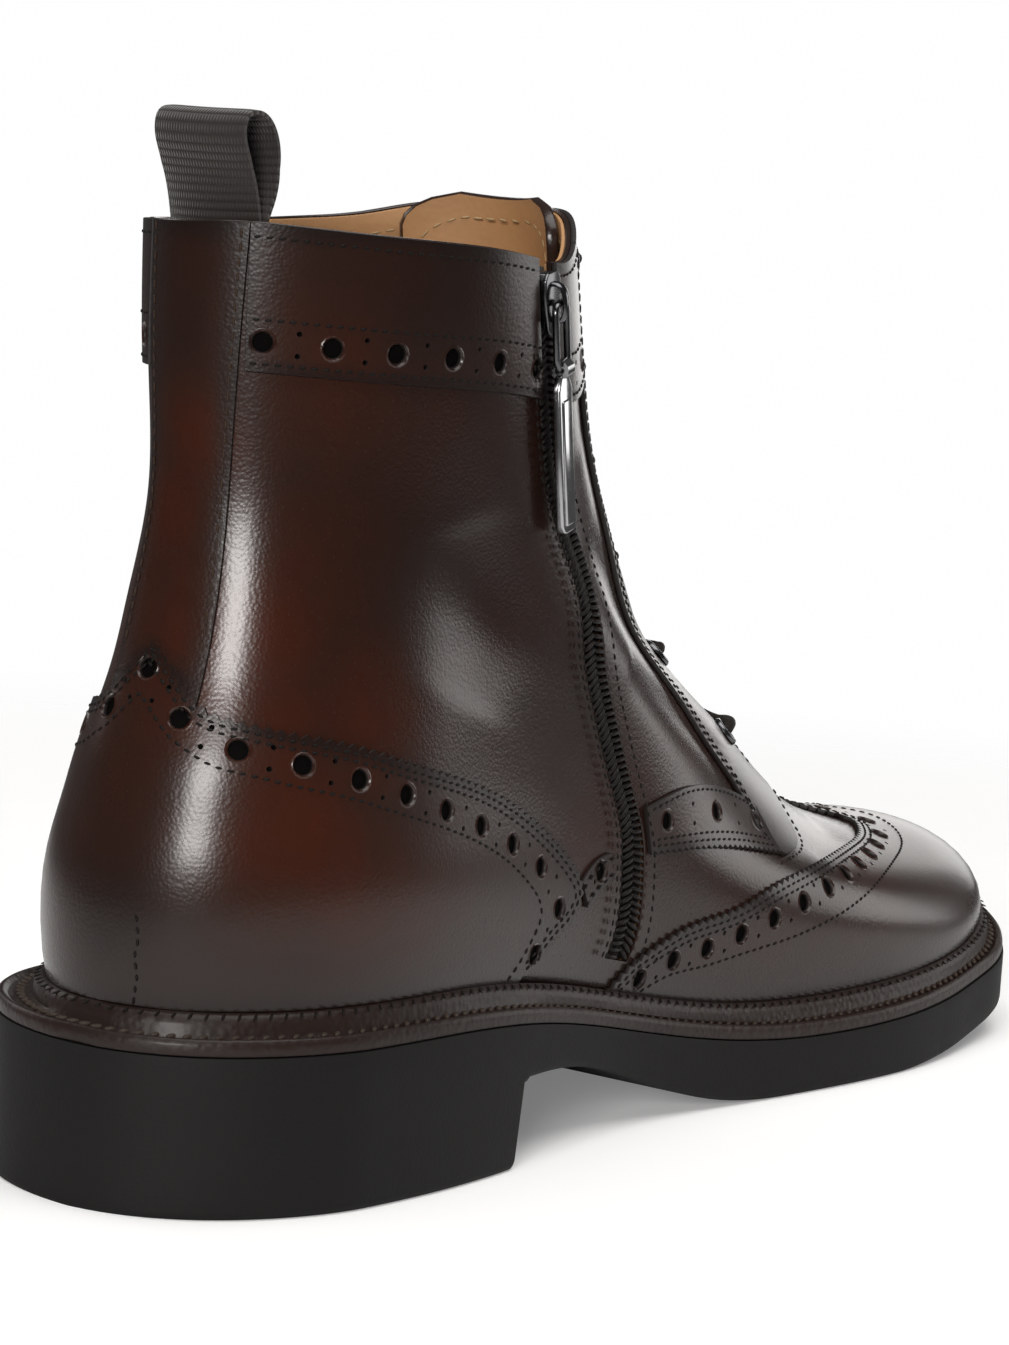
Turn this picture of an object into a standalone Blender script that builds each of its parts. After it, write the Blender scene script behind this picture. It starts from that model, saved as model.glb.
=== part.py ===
# Left wingtip brogue ankle boot with a side zip, laces and a moulded rubber unit sole.
# Metres, +X to the toe, +Y to the outer side of the foot, +Z up, standing on z = 0.
import math

import bmesh
import bpy
import numpy as np
from mathutils import Matrix, Vector

# Driving sizes
SOLE_LENGTH = 0.308
BALL_WIDTH = 0.106
HEEL_HEIGHT = 0.030          # floor to the top of the rubber, at the heel
FOREFOOT_RUBBER = 0.012      # thickness of the rubber under the ball
TOE_SPRING = 0.013
WAIST_CLEARANCE = 0.0174     # floor to the rubber in front of the heel
BREAST_X = 0.088             # front of the heel block, at its top
BREAST_SLOPE = 0.0035
INSTEP_HEIGHT = 0.080        # front line above the bed, at the bend of the ankle
SHAFT_HEIGHT = 0.148         # bed to the collar, at the back
FRONT_HEIGHT = 0.1636        # bed to the tops of the facings
UPPER_WALL = 0.002
FIT_GAP = 0.0003             # between pieces that touch
OVERLAY_GAP = 0.0006         # under an overlay, which lies over a curve
OVERLAY_THICKNESS = 0.0010
WELT_GAP = 0.0004
LINING_GAP = 0.0006          # between the wall's inside and what lies against it
HEEL_ROUND = 0.040
TOE_ROUND = 0.066
SOLE_EDGE_BEVEL = 0.0016
INSOLE_THICKNESS = 0.003
TONGUE_THICKNESS = 0.0022
TONGUE_HALF_WIDTH = 0.023
WELT_INSET = 0.0004
WELT_LIP_HEIGHT = 0.0034
WELT_LIP_WIDTH = 0.0012
WELT_CHANNEL_HEIGHT = 0.0026
WELT_BEAD_WIDTH = 0.0030
ZIP_SLOT_WIDTH = 0.0084
ZIP_TAPE_WIDTH = 0.024
ZIP_TAPE_THICKNESS = 0.0008
ZIP_CHAIN_WIDTH = 0.0056
ZIP_CHAIN_PROUD = 0.0002
BACK_STRIP_HALF_WIDTH = 0.0108
FACING_WIDTH = 0.020
COLLAR_PANEL_DROP = 0.0265   # collar panel's lower edge below the collar
QUARTER_BAND_HEIGHT = 0.0105
PULL_LOOP_WIDTH = 0.021
PULL_LOOP_THICKNESS = 0.0012
PULL_LOOP_HEIGHT = 0.0205
PULL_LOOP_TUCK = 0.012
EYELET_PAIRS = 6
EYELET_RADIUS = 0.0034
EYELET_HOLE_RADIUS = 0.0022
EYELET_THICKNESS = 0.0006
EYELET_INSET = 0.0085        # from the throat's edge
LACE_WIDTH = 0.0026
LACE_THICKNESS = 0.0014
LACE_LIFT = 0.0003
LACE_STEPS = 3
SLIDER_LENGTH = 0.012
SLIDER_WIDTH = 0.0074
SLIDER_TOP = 0.0020          # height of the slider's plate over the leather
BRIDGE_LENGTH = 0.0074
BRIDGE_WIDTH = 0.0020
BRIDGE_THICKNESS = 0.0010
WIRE_RADIUS = 0.0007
WIRE_CLEARANCE = 0.0003
LINK_WIDTH = 0.0066
LINK_LENGTH = 0.0126         # between the two pivots
TAB_LENGTH = 0.0320
TAB_WIDTH = 0.0062
TAB_THICKNESS = 0.0020
TAB_EYE_WALL = 0.0009
TAB_CORNER = 0.0008

# Heights of the surface are levels: 0 is the feather line, 1 the top of the front.
WELT_LEVEL = 0.046
OVERLAY_LEVEL = 0.053
ZIP_END_LEVEL = 0.078
THROAT_LEVEL = 0.338
SLIDER_LEVEL = 0.885

# One row for each section round the foot. x as shares of SOLE_LENGTH, back_rise of
# SHAFT_HEIGHT, front_foot of INSTEP_HEIGHT, front_shaft of what FRONT_HEIGHT adds to it,
# half widths as shares of BALL_WIDTH at the four stations of the section.
SECTION_COLUMNS = (
    "level", "back_x", "back_rise", "front_x", "front_foot", "front_shaft",
    "inner_heel", "inner_waist", "inner_ball", "inner_toe",
    "outer_heel", "outer_waist", "outer_ball", "outer_toe",
)
SECTION_ROWS = (
    (0.00, 0.026, 0.000, 0.969, 0.000, 0.000, 0.287, 0.264, 0.365, 0.275, 0.285, 0.366, 0.468, 0.280),
    (0.05, 0.020, 0.054, 0.978, 0.100, 0.000, 0.308, 0.297, 0.383, 0.294, 0.321, 0.387, 0.483, 0.303),
    (0.12, 0.017, 0.168, 0.959, 0.231, 0.000, 0.323, 0.311, 0.388, 0.269, 0.326, 0.362, 0.476, 0.292),
    (0.20, 0.024, 0.265, 0.888, 0.360, 0.000, 0.311, 0.307, 0.344, 0.208, 0.296, 0.328, 0.405, 0.226),
    (0.30, 0.033, 0.345, 0.770, 0.489, 0.000, 0.292, 0.302, 0.297, 0.166, 0.265, 0.314, 0.329, 0.170),
    (0.42, 0.048, 0.439, 0.641, 0.778, 0.000, 0.264, 0.297, 0.273, 0.152, 0.229, 0.305, 0.287, 0.156),
    (0.54, 0.059, 0.536, 0.534, 1.000, 0.005, 0.236, 0.288, 0.270, 0.146, 0.203, 0.294, 0.273, 0.156),
    (0.66, 0.067, 0.654, 0.465, 1.000, 0.254, 0.208, 0.292, 0.265, 0.146, 0.178, 0.294, 0.268, 0.156),
    (0.82, 0.067, 0.828, 0.422, 1.000, 0.577, 0.198, 0.307, 0.269, 0.152, 0.187, 0.307, 0.274, 0.160),
    (1.00, 0.067, 1.061, 0.394, 1.000, 1.000, 0.198, 0.317, 0.266, 0.150, 0.197, 0.316, 0.283, 0.165),
)
STATIONS = (0.12, 0.40, 0.74, 0.93)

# Sole outline: share of the length, then half widths to each side as shares of BALL_WIDTH
SOLE_COLUMNS = ("along", "inner", "outer")
SOLE_ROWS = (
    (0.00, 0.340, 0.415),
    (0.06, 0.342, 0.400),
    (0.15, 0.372, 0.384),
    (0.27, 0.378, 0.402),
    (0.41, 0.340, 0.452),
    (0.54, 0.376, 0.518),
    (0.65, 0.428, 0.547),
    (0.76, 0.446, 0.520),
    (0.85, 0.436, 0.468),
    (0.93, 0.455, 0.440),
    (1.00, 0.380, 0.400),
)
BED_FALL = (0.16, 0.665)     # where the bed drops from the heel to the ball
BED_LIFT = 0.633             # where the toe spring starts, on top
TREAD_FLAT = (0.60, 0.72)    # flat spot of the forefoot

# Lines on the surface: (turn, level), a turn of 0 being the back, 0.5 the front
COLLAR_LINE = (
    (0.000, 0.955), (0.045, 0.957), (0.114, 0.951), (0.181, 0.941), (0.262, 0.928), (0.335, 0.931),
    (0.385, 0.966), (0.425, 0.984), (0.460, 0.988), (0.540, 0.988), (0.590, 0.981), (0.640, 0.962),
    (0.690, 0.948), (0.740, 0.940), (0.820, 0.943), (0.900, 0.950), (1.000, 0.955),
)
ZIP_LINE = (
    (0.218, 0.060), (0.223, 0.087), (0.229, 0.135), (0.236, 0.190), (0.254, 0.293), (0.265, 0.380),
    (0.281, 0.480), (0.297, 0.545), (0.302, 0.585), (0.298, 0.630), (0.294, 0.680), (0.293, 0.764),
    (0.291, 0.850), (0.289, 0.960),
)
# Half the throat's gap, in metres, against the level
THROAT_GAP = (
    (0.00, 0.0040), (0.30, 0.0062), (0.36, 0.0078), (0.45, 0.0066), (0.60, 0.0055),
    (0.80, 0.0062), (1.00, 0.0090),
)
COUNTER_EDGE = (
    (-0.208, 0.120), (-0.205, 0.169), (-0.187, 0.256), (-0.168, 0.292), (-0.141, 0.322), (-0.115, 0.348),
    (-0.088, 0.362), (-0.061, 0.374), (-0.041, 0.388), (-0.024, 0.429), (0.000, 0.482), (0.024, 0.429),
    (0.041, 0.388), (0.061, 0.374), (0.088, 0.362), (0.115, 0.348), (0.141, 0.322), (0.168, 0.292),
    (0.187, 0.256), (0.205, 0.169), (0.208, 0.120),
)
COUNTER_FOOT = 0.184
CAP_EDGE = (
    (0.2190, 0.0580), (0.2330, 0.0920), (0.2495, 0.1268), (0.2722, 0.1600), (0.2952, 0.1980),
    (0.3291, 0.2290), (0.3643, 0.2414), (0.3895, 0.2408), (0.4119, 0.2385), (0.4331, 0.2400),
    (0.4520, 0.2450), (0.4700, 0.2640), (0.4850, 0.2860), (0.5000, 0.3050),
)
QUARTER_EDGE = (
    (0.2240, 0.185), (0.2469, 0.219), (0.2802, 0.259), (0.3050, 0.272), (0.3254, 0.262),
)
CORNER_EDGE = ((0.3272, 0.258), (0.3582, 0.283), (0.3800, 0.310), (0.4014, 0.334), (0.4200, 0.350))


def natural_bends(knots, values):
    """Second derivatives of the natural cubic through the knots."""
    count = len(knots)
    matrix = np.zeros((count, count))
    right = np.zeros(values.shape)
    matrix[0, 0] = matrix[-1, -1] = 1.0
    for i in range(1, count - 1):
        before = knots[i] - knots[i - 1]
        after = knots[i + 1] - knots[i]
        matrix[i, i - 1: i + 2] = before, 2 * (before + after), after
        right[i] = 6 * ((values[i + 1] - values[i]) / after - (values[i] - values[i - 1]) / before)
    return np.linalg.solve(matrix, right)


def smooth_line(rows):
    """A function that reads a smooth curve through rows of (x, value, value, ...)."""
    table = np.array(rows, float)
    knots = table[:, 0]
    values = table[:, 1:]
    bends = natural_bends(knots, values)

    def read(x):
        x = np.clip(np.asarray(x, float), knots[0], knots[-1])
        i = np.clip(np.searchsorted(knots, x) - 1, 0, len(knots) - 2)
        step = (knots[i + 1] - knots[i])[..., None]
        a = (knots[i + 1][..., None] - x[..., None]) / step
        b = 1 - a
        curve = (a ** 3 - a) * bends[i] + (b ** 3 - b) * bends[i + 1]
        return a * values[i] + b * values[i + 1] + curve * step ** 2 / 6

    return read


def ease(x):
    x = np.clip(x, 0, 1)
    return x ** 3 * (x * (6 * x - 15) + 10)


def bed_height(x):
    """Top of the rubber, which the upper stands on."""
    along = np.asarray(x, float) / SOLE_LENGTH
    fall = ease((along - BED_FALL[0]) / (BED_FALL[1] - BED_FALL[0]))
    lift = np.clip((along - BED_LIFT) / (1 - BED_LIFT), 0, None) ** 2.4
    return HEEL_HEIGHT + (FOREFOOT_RUBBER - HEEL_HEIGHT) * fall + TOE_SPRING * lift


def tread_height(x):
    """Underside of the rubber in front of the heel."""
    along = np.asarray(x, float) / SOLE_LENGTH
    breast = BREAST_X / SOLE_LENGTH
    arch = 1 - ease((along - breast) / (TREAD_FLAT[0] - breast))
    lift = np.clip((along - TREAD_FLAT[1]) / (1 - TREAD_FLAT[1]), 0, None) ** 1.7
    return WAIST_CLEARANCE * arch + TOE_SPRING * lift


def scaled_sections():
    rows = []
    for row in SECTION_ROWS:
        named = dict(zip(SECTION_COLUMNS, row))
        shaft_rise = named["front_shaft"] * (FRONT_HEIGHT - INSTEP_HEIGHT)
        widths = [named[column] * BALL_WIDTH for column in SECTION_COLUMNS[6:]]
        rows.append([
            named["level"],
            named["back_x"] * SOLE_LENGTH,
            named["back_rise"] * SHAFT_HEIGHT,
            named["front_x"] * SOLE_LENGTH,
            named["front_foot"] * INSTEP_HEIGHT + shaft_rise,
            *widths,
        ])
    return rows


section = smooth_line(scaled_sections())
sole_width = smooth_line([
    [dict(zip(SOLE_COLUMNS, row))[name] for name in ("along", "inner", "outer")] for row in SOLE_ROWS
])
collar_level_at = smooth_line(COLLAR_LINE)
zip_turn_at = smooth_line([(level, turn) for turn, level in ZIP_LINE])
throat_gap_at = smooth_line(THROAT_GAP)
STATION_STEPS = np.diff(STATIONS)


def station_width(widths, along):
    """Half width of a section at a share of its length, with rounded ends."""
    fullness = 2 * np.sqrt(np.array(STATIONS) * (1 - np.array(STATIONS)))
    values = widths / fullness
    slopes = np.diff(values, axis=-1) / STATION_STEPS
    first, middle, last = (STATION_STEPS[k] for k in range(3))
    pull_a = 6 * (slopes[..., 1] - slopes[..., 0])
    pull_b = 6 * (slopes[..., 2] - slopes[..., 1])
    spread = 4 * (first + middle) * (middle + last) - middle ** 2
    bend_a = (2 * (middle + last) * pull_a - middle * pull_b) / spread
    bend_b = (2 * (first + middle) * pull_b - middle * pull_a) / spread
    none = np.zeros_like(bend_a)
    bends = np.stack([none, bend_a, bend_b, none], -1)
    i = np.clip(np.searchsorted(STATIONS, along) - 1, 0, 2)

    def take(table, k):
        return np.take_along_axis(table, k[..., None], -1)[..., 0]

    step = STATION_STEPS[i]
    a = (np.array(STATIONS)[i + 1] - along) / step
    b = 1 - a
    inside = (
        a * take(values, i) + b * take(values, i + 1)
        + ((a ** 3 - a) * take(bends, i) + (b ** 3 - b) * take(bends, i + 1)) * step ** 2 / 6
    )
    before = values[..., 0] + (slopes[..., 0] - bend_a * first / 6) * (along - STATIONS[0])
    after = values[..., 3] + (slopes[..., 2] + bend_b * last / 6) * (along - STATIONS[3])
    return np.where(along < STATIONS[0], before, np.where(along > STATIONS[3], after, inside))


def base_point(turn, level):
    turn, level = np.broadcast_arrays(np.asarray(turn, float) % 1.0, np.asarray(level, float))
    row = section(level)
    along = (1 - np.cos(2 * np.pi * turn)) / 2
    inner = turn < 0.5
    widths = np.where(inner[..., None], row[..., 4:8], row[..., 8:12])
    half = np.abs(np.sin(2 * np.pi * turn)) * station_width(widths, along)
    x = row[..., 0] + (row[..., 2] - row[..., 0]) * along
    z = bed_height(x) + FIT_GAP + row[..., 1] + (row[..., 3] - row[..., 1]) * along
    return np.stack([x, np.where(inner, -half, half), z], -1)


def surface_normal(turn, level):
    step = 1e-4
    level = np.asarray(level, float)
    around = base_point(turn + step, level) - base_point(turn - step, level)
    up = base_point(turn, np.clip(level + step, 0, 1)) - base_point(turn, np.clip(level - step, 0, 1))
    normal = np.cross(around, up)
    return normal / np.linalg.norm(normal, axis=-1, keepdims=True)


def surface_point(turn, level, offset=0.0):
    """A point on the upper's outside, moved out along the surface's normal."""
    turn = np.asarray(turn, float)
    return base_point(turn, level) + surface_normal(turn, level) * offset


def turn_span(turn, level, metres):
    """The turn that a distance round the section takes up."""
    step = 1e-3
    change = base_point(turn + step, level) - base_point(turn - step, level)
    return metres * 2 * step / np.linalg.norm(change, axis=-1)


def level_span(turn, level, metres):
    """The level that a distance up the surface takes up."""
    step = 1e-3
    change = base_point(turn, level + step) - base_point(turn, level - step)
    return metres * 2 * step / np.linalg.norm(change, axis=-1)


def collar_level(turn):
    return collar_level_at(np.asarray(turn, float) % 1.0)[..., 0]


def zip_turn(level):
    return zip_turn_at(level)[..., 0]


def throat_turn(level, side, beyond=0.0):
    """Turn of the throat's edge: side -1 is the inner one. beyond is a distance from it."""
    gap = throat_gap_at(level)[..., 0] + beyond
    return 0.5 + side * turn_span(0.5, level, gap)


def along_line(points, count):
    """Evenly spaced points on a smooth curve through (turn, level) pairs."""
    table = np.array(points, float)
    places = base_point(table[:, 0], table[:, 1])
    reach = np.r_[0, np.cumsum(np.linalg.norm(np.diff(places, axis=0), axis=1))]
    curve = smooth_line(np.c_[reach / reach[-1], table])
    return curve(np.linspace(0, 1, count))


def make_object(name, vertices, faces, colour, roughness=0.4, metallic=0.0):
    mesh = bpy.data.meshes.new(name)
    mesh.from_pydata([tuple(map(float, v)) for v in vertices], [], [tuple(map(int, f)) for f in faces])
    shape = bmesh.new()
    shape.from_mesh(mesh)
    bmesh.ops.remove_doubles(shape, verts=shape.verts, dist=1e-6)
    bmesh.ops.dissolve_degenerate(shape, edges=shape.edges, dist=1e-6)
    bmesh.ops.triangulate(shape, faces=shape.faces)
    bmesh.ops.recalc_face_normals(shape, faces=shape.faces)
    if shape.calc_volume(signed=True) < 0:
        bmesh.ops.reverse_faces(shape, faces=shape.faces)
    shape.to_mesh(mesh)
    shape.free()
    mesh.shade_smooth()
    mesh.set_sharp_from_angle(angle=math.radians(35))
    thing = bpy.data.objects.new(name, mesh)
    bpy.context.scene.collection.objects.link(thing)
    finish = bpy.data.materials.new(name)
    finish.use_nodes = True
    shader = finish.node_tree.nodes["Principled BSDF"]
    shader.inputs["Base Color"].default_value = (*colour, 1.0)
    shader.inputs["Roughness"].default_value = roughness
    shader.inputs["Metallic"].default_value = metallic
    mesh.materials.append(finish)
    return thing


def close_skins(outside, inside, rings):
    """Vertices and faces of the wall between two skins that share their faces."""
    size = len(outside)
    faces = []
    edges = set()
    for ring in rings:
        faces.append(tuple(ring))
        faces.append(tuple(size + k for k in reversed(ring)))
        edges.update(zip(ring, (*ring[1:], ring[0])))
    for start, end in edges:
        if (end, start) not in edges:
            faces.append((end, start, size + start, size + end))
    return np.r_[outside, inside], faces


def join_skins(outside, inside, keep, wrap=False):
    """The wall between two grids, over the cells that are kept."""
    columns, rows = outside.shape[:2]
    rings = []
    for i in range(columns if wrap else columns - 1):
        following = (i + 1) % columns
        for j in range(rows - 1):
            if keep[i, j]:
                rings.append((
                    i * rows + j, following * rows + j, following * rows + j + 1, i * rows + j + 1,
                ))
    return close_skins(outside.reshape(-1, 3), inside.reshape(-1, 3), rings)


def wall_piece(name, turns, levels, low, high, colour, roughness=0.35):
    """A solid between two offsets of the surface, over a grid of turns and levels."""
    keep = np.ones((turns.shape[0], turns.shape[1] - 1), bool)
    outside = surface_point(turns, levels, high)
    inside = surface_point(turns, levels, low)
    vertices, faces = join_skins(outside, inside, keep)
    return make_object(name, vertices, faces, colour, roughness)


def ruled_piece(name, foot, head, rows, low, high, colour, crowding=1.0):
    """A wall piece ruled between two lines of (turn, level) points."""
    mix = np.linspace(0, 1, rows)[None, :, None] ** crowding
    grid = foot[:, None, :] * (1 - mix) + head[:, None, :] * mix
    return wall_piece(name, grid[..., 0], grid[..., 1], low, high, colour)


LEATHER = (0.030, 0.012, 0.008)
LEATHER_DARK = (0.020, 0.009, 0.006)
WELT_BROWN = (0.022, 0.012, 0.009)
TAN = (0.35, 0.17, 0.06)
RUBBER = (0.012, 0.012, 0.012)
WEBBING = (0.012, 0.009, 0.008)
GUNMETAL = (0.12, 0.12, 0.125)
OVERLAY_LOW = OVERLAY_GAP
OVERLAY_HIGH = OVERLAY_GAP + OVERLAY_THICKNESS


def sole_half_widths(x):
    along = np.asarray(x, float) / SOLE_LENGTH
    widths = sole_width(along) * BALL_WIDTH
    heel = np.clip((HEEL_ROUND - x) / HEEL_ROUND, 0, 1)
    toe = np.clip((x - SOLE_LENGTH + TOE_ROUND) / TOE_ROUND, 0, 1)
    ends = np.sqrt(np.clip(1 - heel ** 2, 0, 1)) * np.sqrt(np.clip(1 - toe ** 2, 0, 1))
    return widths[..., 0] * ends, widths[..., 1] * ends


def sole_edge(turn, inset=0.0):
    """A point on the sole's outline, in plan, level with the same turn of the upper."""
    along = (1 - np.cos(2 * np.pi * turn)) / 2
    x = inset + (SOLE_LENGTH - 2 * inset) * along
    inner, outer = sole_half_widths(x)
    half = np.where(turn < 0.5, -inner, outer)
    ends = np.clip(np.abs(half) - inset, 0, None)
    return x, np.sign(half) * ends


def build_outsole():
    spread = (1 - np.cos(np.linspace(0, np.pi, 35))) / 2 * SOLE_LENGTH
    fixed = [BREAST_X, BREAST_X - BREAST_SLOPE, TREAD_FLAT[0] * SOLE_LENGTH, TREAD_FLAT[1] * SOLE_LENGTH]
    free = [x for x in spread if min(abs(x - f) for f in fixed) > 0.0022]
    stations = np.array(sorted(free + fixed))
    profiles = []
    for x in stations:
        inner, outer = (float(side) for side in sole_half_widths(x))
        top = float(bed_height(x))
        heel = x < BREAST_X - BREAST_SLOPE / 2
        low = 0.0 if heel else float(tread_height(x))
        bevel = min(SOLE_EDGE_BEVEL, (inner + outer) / 5)
        corner = 0.3 * bevel
        profiles.append([
            (x, -inner, top), (x, -inner, low + bevel), (x, -inner + corner, low + corner),
            (x, -inner + bevel, low), (x, outer - bevel, low), (x, outer - corner, low + corner),
            (x, outer, low + bevel), (x, outer, top),
        ])
    rings = np.array(profiles)
    count, around = rings.shape[:2]
    faces = []
    for i in range(count - 1):
        for k in range(around):
            following = (k + 1) % around
            faces.append((
                i * around + k, i * around + following,
                (i + 1) * around + following, (i + 1) * around + k,
            ))
    faces.append(tuple(range(around)))
    faces.append(tuple(range((count - 1) * around, count * around)))
    return make_object("outsole", rings.reshape(-1, 3), faces, RUBBER, 0.55)


def build_welt():
    turns = column_turns(np.zeros(1))[:, 0]
    rim_x, rim_y = sole_edge(turns, WELT_INSET)
    levels = np.array([0.0, WELT_LEVEL * 0.5, WELT_LEVEL])
    inner = surface_point(turns[:, None], levels[None, :], WELT_GAP)
    inner[:, 0, 2] = bed_height(inner[:, 0, 0]) + FIT_GAP
    rim = np.stack([rim_x, rim_y], -1)
    plan = inner[:, 2, :2] - rim
    width = np.linalg.norm(plan, axis=1, keepdims=True)
    toward = plan / width
    bead_top = inner[:, 2, 2] - bed_height(inner[:, 2, 0])
    steps = (
        (0.0, FIT_GAP), (0.0, WELT_LIP_HEIGHT * 0.8), (WELT_LIP_WIDTH, WELT_LIP_HEIGHT),
        (2 * WELT_LIP_WIDTH, WELT_CHANNEL_HEIGHT),
    )
    rings = []
    for inset, height in steps:
        place = rim + toward * inset
        rings.append(np.c_[place, bed_height(place[:, 0]) + height])
    for inset, share in ((WELT_BEAD_WIDTH, 0.42), (WELT_BEAD_WIDTH * 0.55, 0.95)):
        place = inner[:, 2, :2] - toward * inset
        height = np.maximum(bead_top * share, WELT_CHANNEL_HEIGHT)
        rings.append(np.c_[place, bed_height(place[:, 0]) + height])
    rings += [inner[:, 2], inner[:, 1], inner[:, 0]]
    grid = np.stack(rings, 1)
    columns, rows = grid.shape[:2]
    faces = []
    for i in range(columns):
        following = (i + 1) % columns
        for j in range(rows):
            after = (j + 1) % rows
            faces.append((
                i * rows + j, following * rows + j, following * rows + after, i * rows + after,
            ))
    return make_object("welt", grid.reshape(-1, 3), faces, WELT_BROWN, 0.5)


def build_insole():
    count = 27
    turns = (np.arange(count) + 0.35) / (count - 0.3) / 2
    inset = -(UPPER_WALL + 2 * FIT_GAP)
    inner = surface_point(turns, 0.0, inset)
    outer = surface_point(1 - turns, 0.0, inset)
    vertices = []
    for side in (inner, outer):
        for rise in (FIT_GAP, FIT_GAP + INSOLE_THICKNESS):
            vertices.append(np.c_[side[:, :2], bed_height(side[:, 0]) + rise])
    inner_low, inner_top, outer_low, outer_top = (k * count for k in range(4))
    faces = []
    for i in range(count - 1):
        ring = (inner_low, outer_low, outer_top, inner_top)
        for k in range(4):
            a, b = ring[k], ring[(k + 1) % 4]
            faces.append((a + i, b + i, b + i + 1, a + i + 1))
    for i in (0, count - 1):
        faces.append((inner_low + i, outer_low + i, outer_top + i, inner_top + i))
    return make_object("insole", np.concatenate(vertices), faces, TAN, 0.6)


# Columns of the upper: back to zip, the zip's slot, zip to throat, throat, throat to back
COLUMN_CELLS = (9, 1, 14, 2, 19)
COLUMN_CROWDING = (1.0, 1.0, 0.9, 1.0, 1.15)


def column_turns(levels):
    """The upper's columns, which follow the edges of the zip's slot and of the throat."""
    zip_half = turn_span(zip_turn(levels), levels, ZIP_SLOT_WIDTH / 2)
    stops = [
        np.zeros_like(levels), zip_turn(levels) - zip_half, zip_turn(levels) + zip_half,
        throat_turn(levels, -1), throat_turn(levels, 1), np.ones_like(levels),
    ]
    turns = []
    for start, end, count, power in zip(stops[:-1], stops[1:], COLUMN_CELLS, COLUMN_CROWDING):
        for k in range(count):
            turns.append(start + (end - start) * (k / count) ** power)
    return np.array(turns)


def build_upper():
    levels = np.array([
        0.0, 0.025, 0.050, ZIP_END_LEVEL, 0.115, 0.155, 0.195, 0.235, 0.270, 0.300, THROAT_LEVEL,
        0.390, 0.445, 0.505, 0.575, 0.660, 0.760, 0.870, 1.000,
    ])
    # The rows above this one spread so that the last one follows the collar.
    spread_from = 0.760
    turns = column_turns(levels)
    columns = len(turns)
    grid_levels = np.tile(levels, (columns, 1))
    share = np.clip((levels - spread_from) / (1 - spread_from), 0, 1)
    top = collar_level(turns[:, -1])[:, None]
    grid_levels = np.where(
        levels > spread_from, spread_from + share * (top - spread_from), grid_levels
    )
    keep = np.ones((columns, len(levels) - 1), bool)
    slot = COLUMN_CELLS[0]
    keep[slot, levels[:-1] >= ZIP_END_LEVEL - 1e-9] = False
    throat = sum(COLUMN_CELLS[:3])
    keep[throat: throat + COLUMN_CELLS[3], levels[:-1] >= THROAT_LEVEL - 1e-9] = False
    outside = surface_point(turns, grid_levels, 0.0)
    inside = surface_point(turns, grid_levels, -UPPER_WALL)
    inside[:, 0, 2] = bed_height(inside[:, 0, 0]) + FIT_GAP
    vertices, faces = join_skins(outside, inside, keep, wrap=True)
    used = sorted({k for face in faces for k in face})
    renumber = {k: i for i, k in enumerate(used)}
    faces = [tuple(renumber[k] for k in face) for face in faces]
    return make_object("upper", vertices[used], faces, LEATHER, 0.3)


def build_tongue():
    foot = THROAT_LEVEL - 0.030
    levels = foot + (0.999 - foot) * np.linspace(0, 1, 12) ** 1.2
    across = np.linspace(-1, 1, 7)
    # The top corners are rounded, and the sides narrow towards the vamp.
    corner = np.sqrt(1 - np.clip((levels - 0.955) / 0.050, 0, 1) ** 2)
    half = TONGUE_HALF_WIDTH * (0.72 + 0.28 * ease((levels - 0.3) / 0.4)) * corner
    turns = 0.5 + turn_span(0.5, levels, half)[None, :] * across[:, None]
    grid = np.tile(levels, (len(across), 1))
    high = -(UPPER_WALL + LINING_GAP)
    return wall_piece("tongue", turns, grid, high - TONGUE_THICKNESS, high, LEATHER_DARK)


def build_counter():
    count = 31
    head = along_line(COUNTER_EDGE, count)
    # The foot of the counter fans out under the edge, so that its front ends slope back.
    share = np.linspace(-1, 1, count)
    foot = np.c_[share * COUNTER_FOOT, np.full(count, OVERLAY_LEVEL)]
    return ruled_piece("heel_counter", foot, head, 6, OVERLAY_LOW, OVERLAY_HIGH, LEATHER)


def build_cap():
    inner = along_line(CAP_EDGE, 22)
    outer = inner[:-1][::-1] * (-1, 1) + (1, 0)
    head = np.r_[inner, outer]
    share = np.linspace(0, 1, len(head))
    foot = np.c_[
        CAP_EDGE[0][0] + (1 - 2 * CAP_EDGE[0][0]) * share, np.full(len(head), OVERLAY_LEVEL)
    ]
    # The rows lie closer together over the nose of the toe.
    return ruled_piece("wing_cap", foot, head, 6, OVERLAY_LOW, OVERLAY_HIGH, LEATHER, 1.4)


def counter_top(turn):
    table = np.array(COUNTER_EDGE)
    return np.interp(turn, table[:, 0], table[:, 1])


def build_back_strip():
    levels = np.linspace(0, 1, 10)
    across = np.linspace(-1, 1, 7)
    low_half = turn_span(0.0, 0.45, BACK_STRIP_HALF_WIDTH * 0.86)
    top_half = turn_span(0.0, 0.90, BACK_STRIP_HALF_WIDTH)
    foot_turn = across * low_half
    head_turn = across * top_half
    gap = level_span(0.0, 0.45, 3 * FIT_GAP)
    foot = np.c_[foot_turn, counter_top(foot_turn) + gap]
    head = np.c_[head_turn, collar_level(head_turn)]
    return ruled_piece(
        "back_strip", foot, head, len(levels), OVERLAY_LOW, OVERLAY_HIGH, LEATHER
    )


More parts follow.
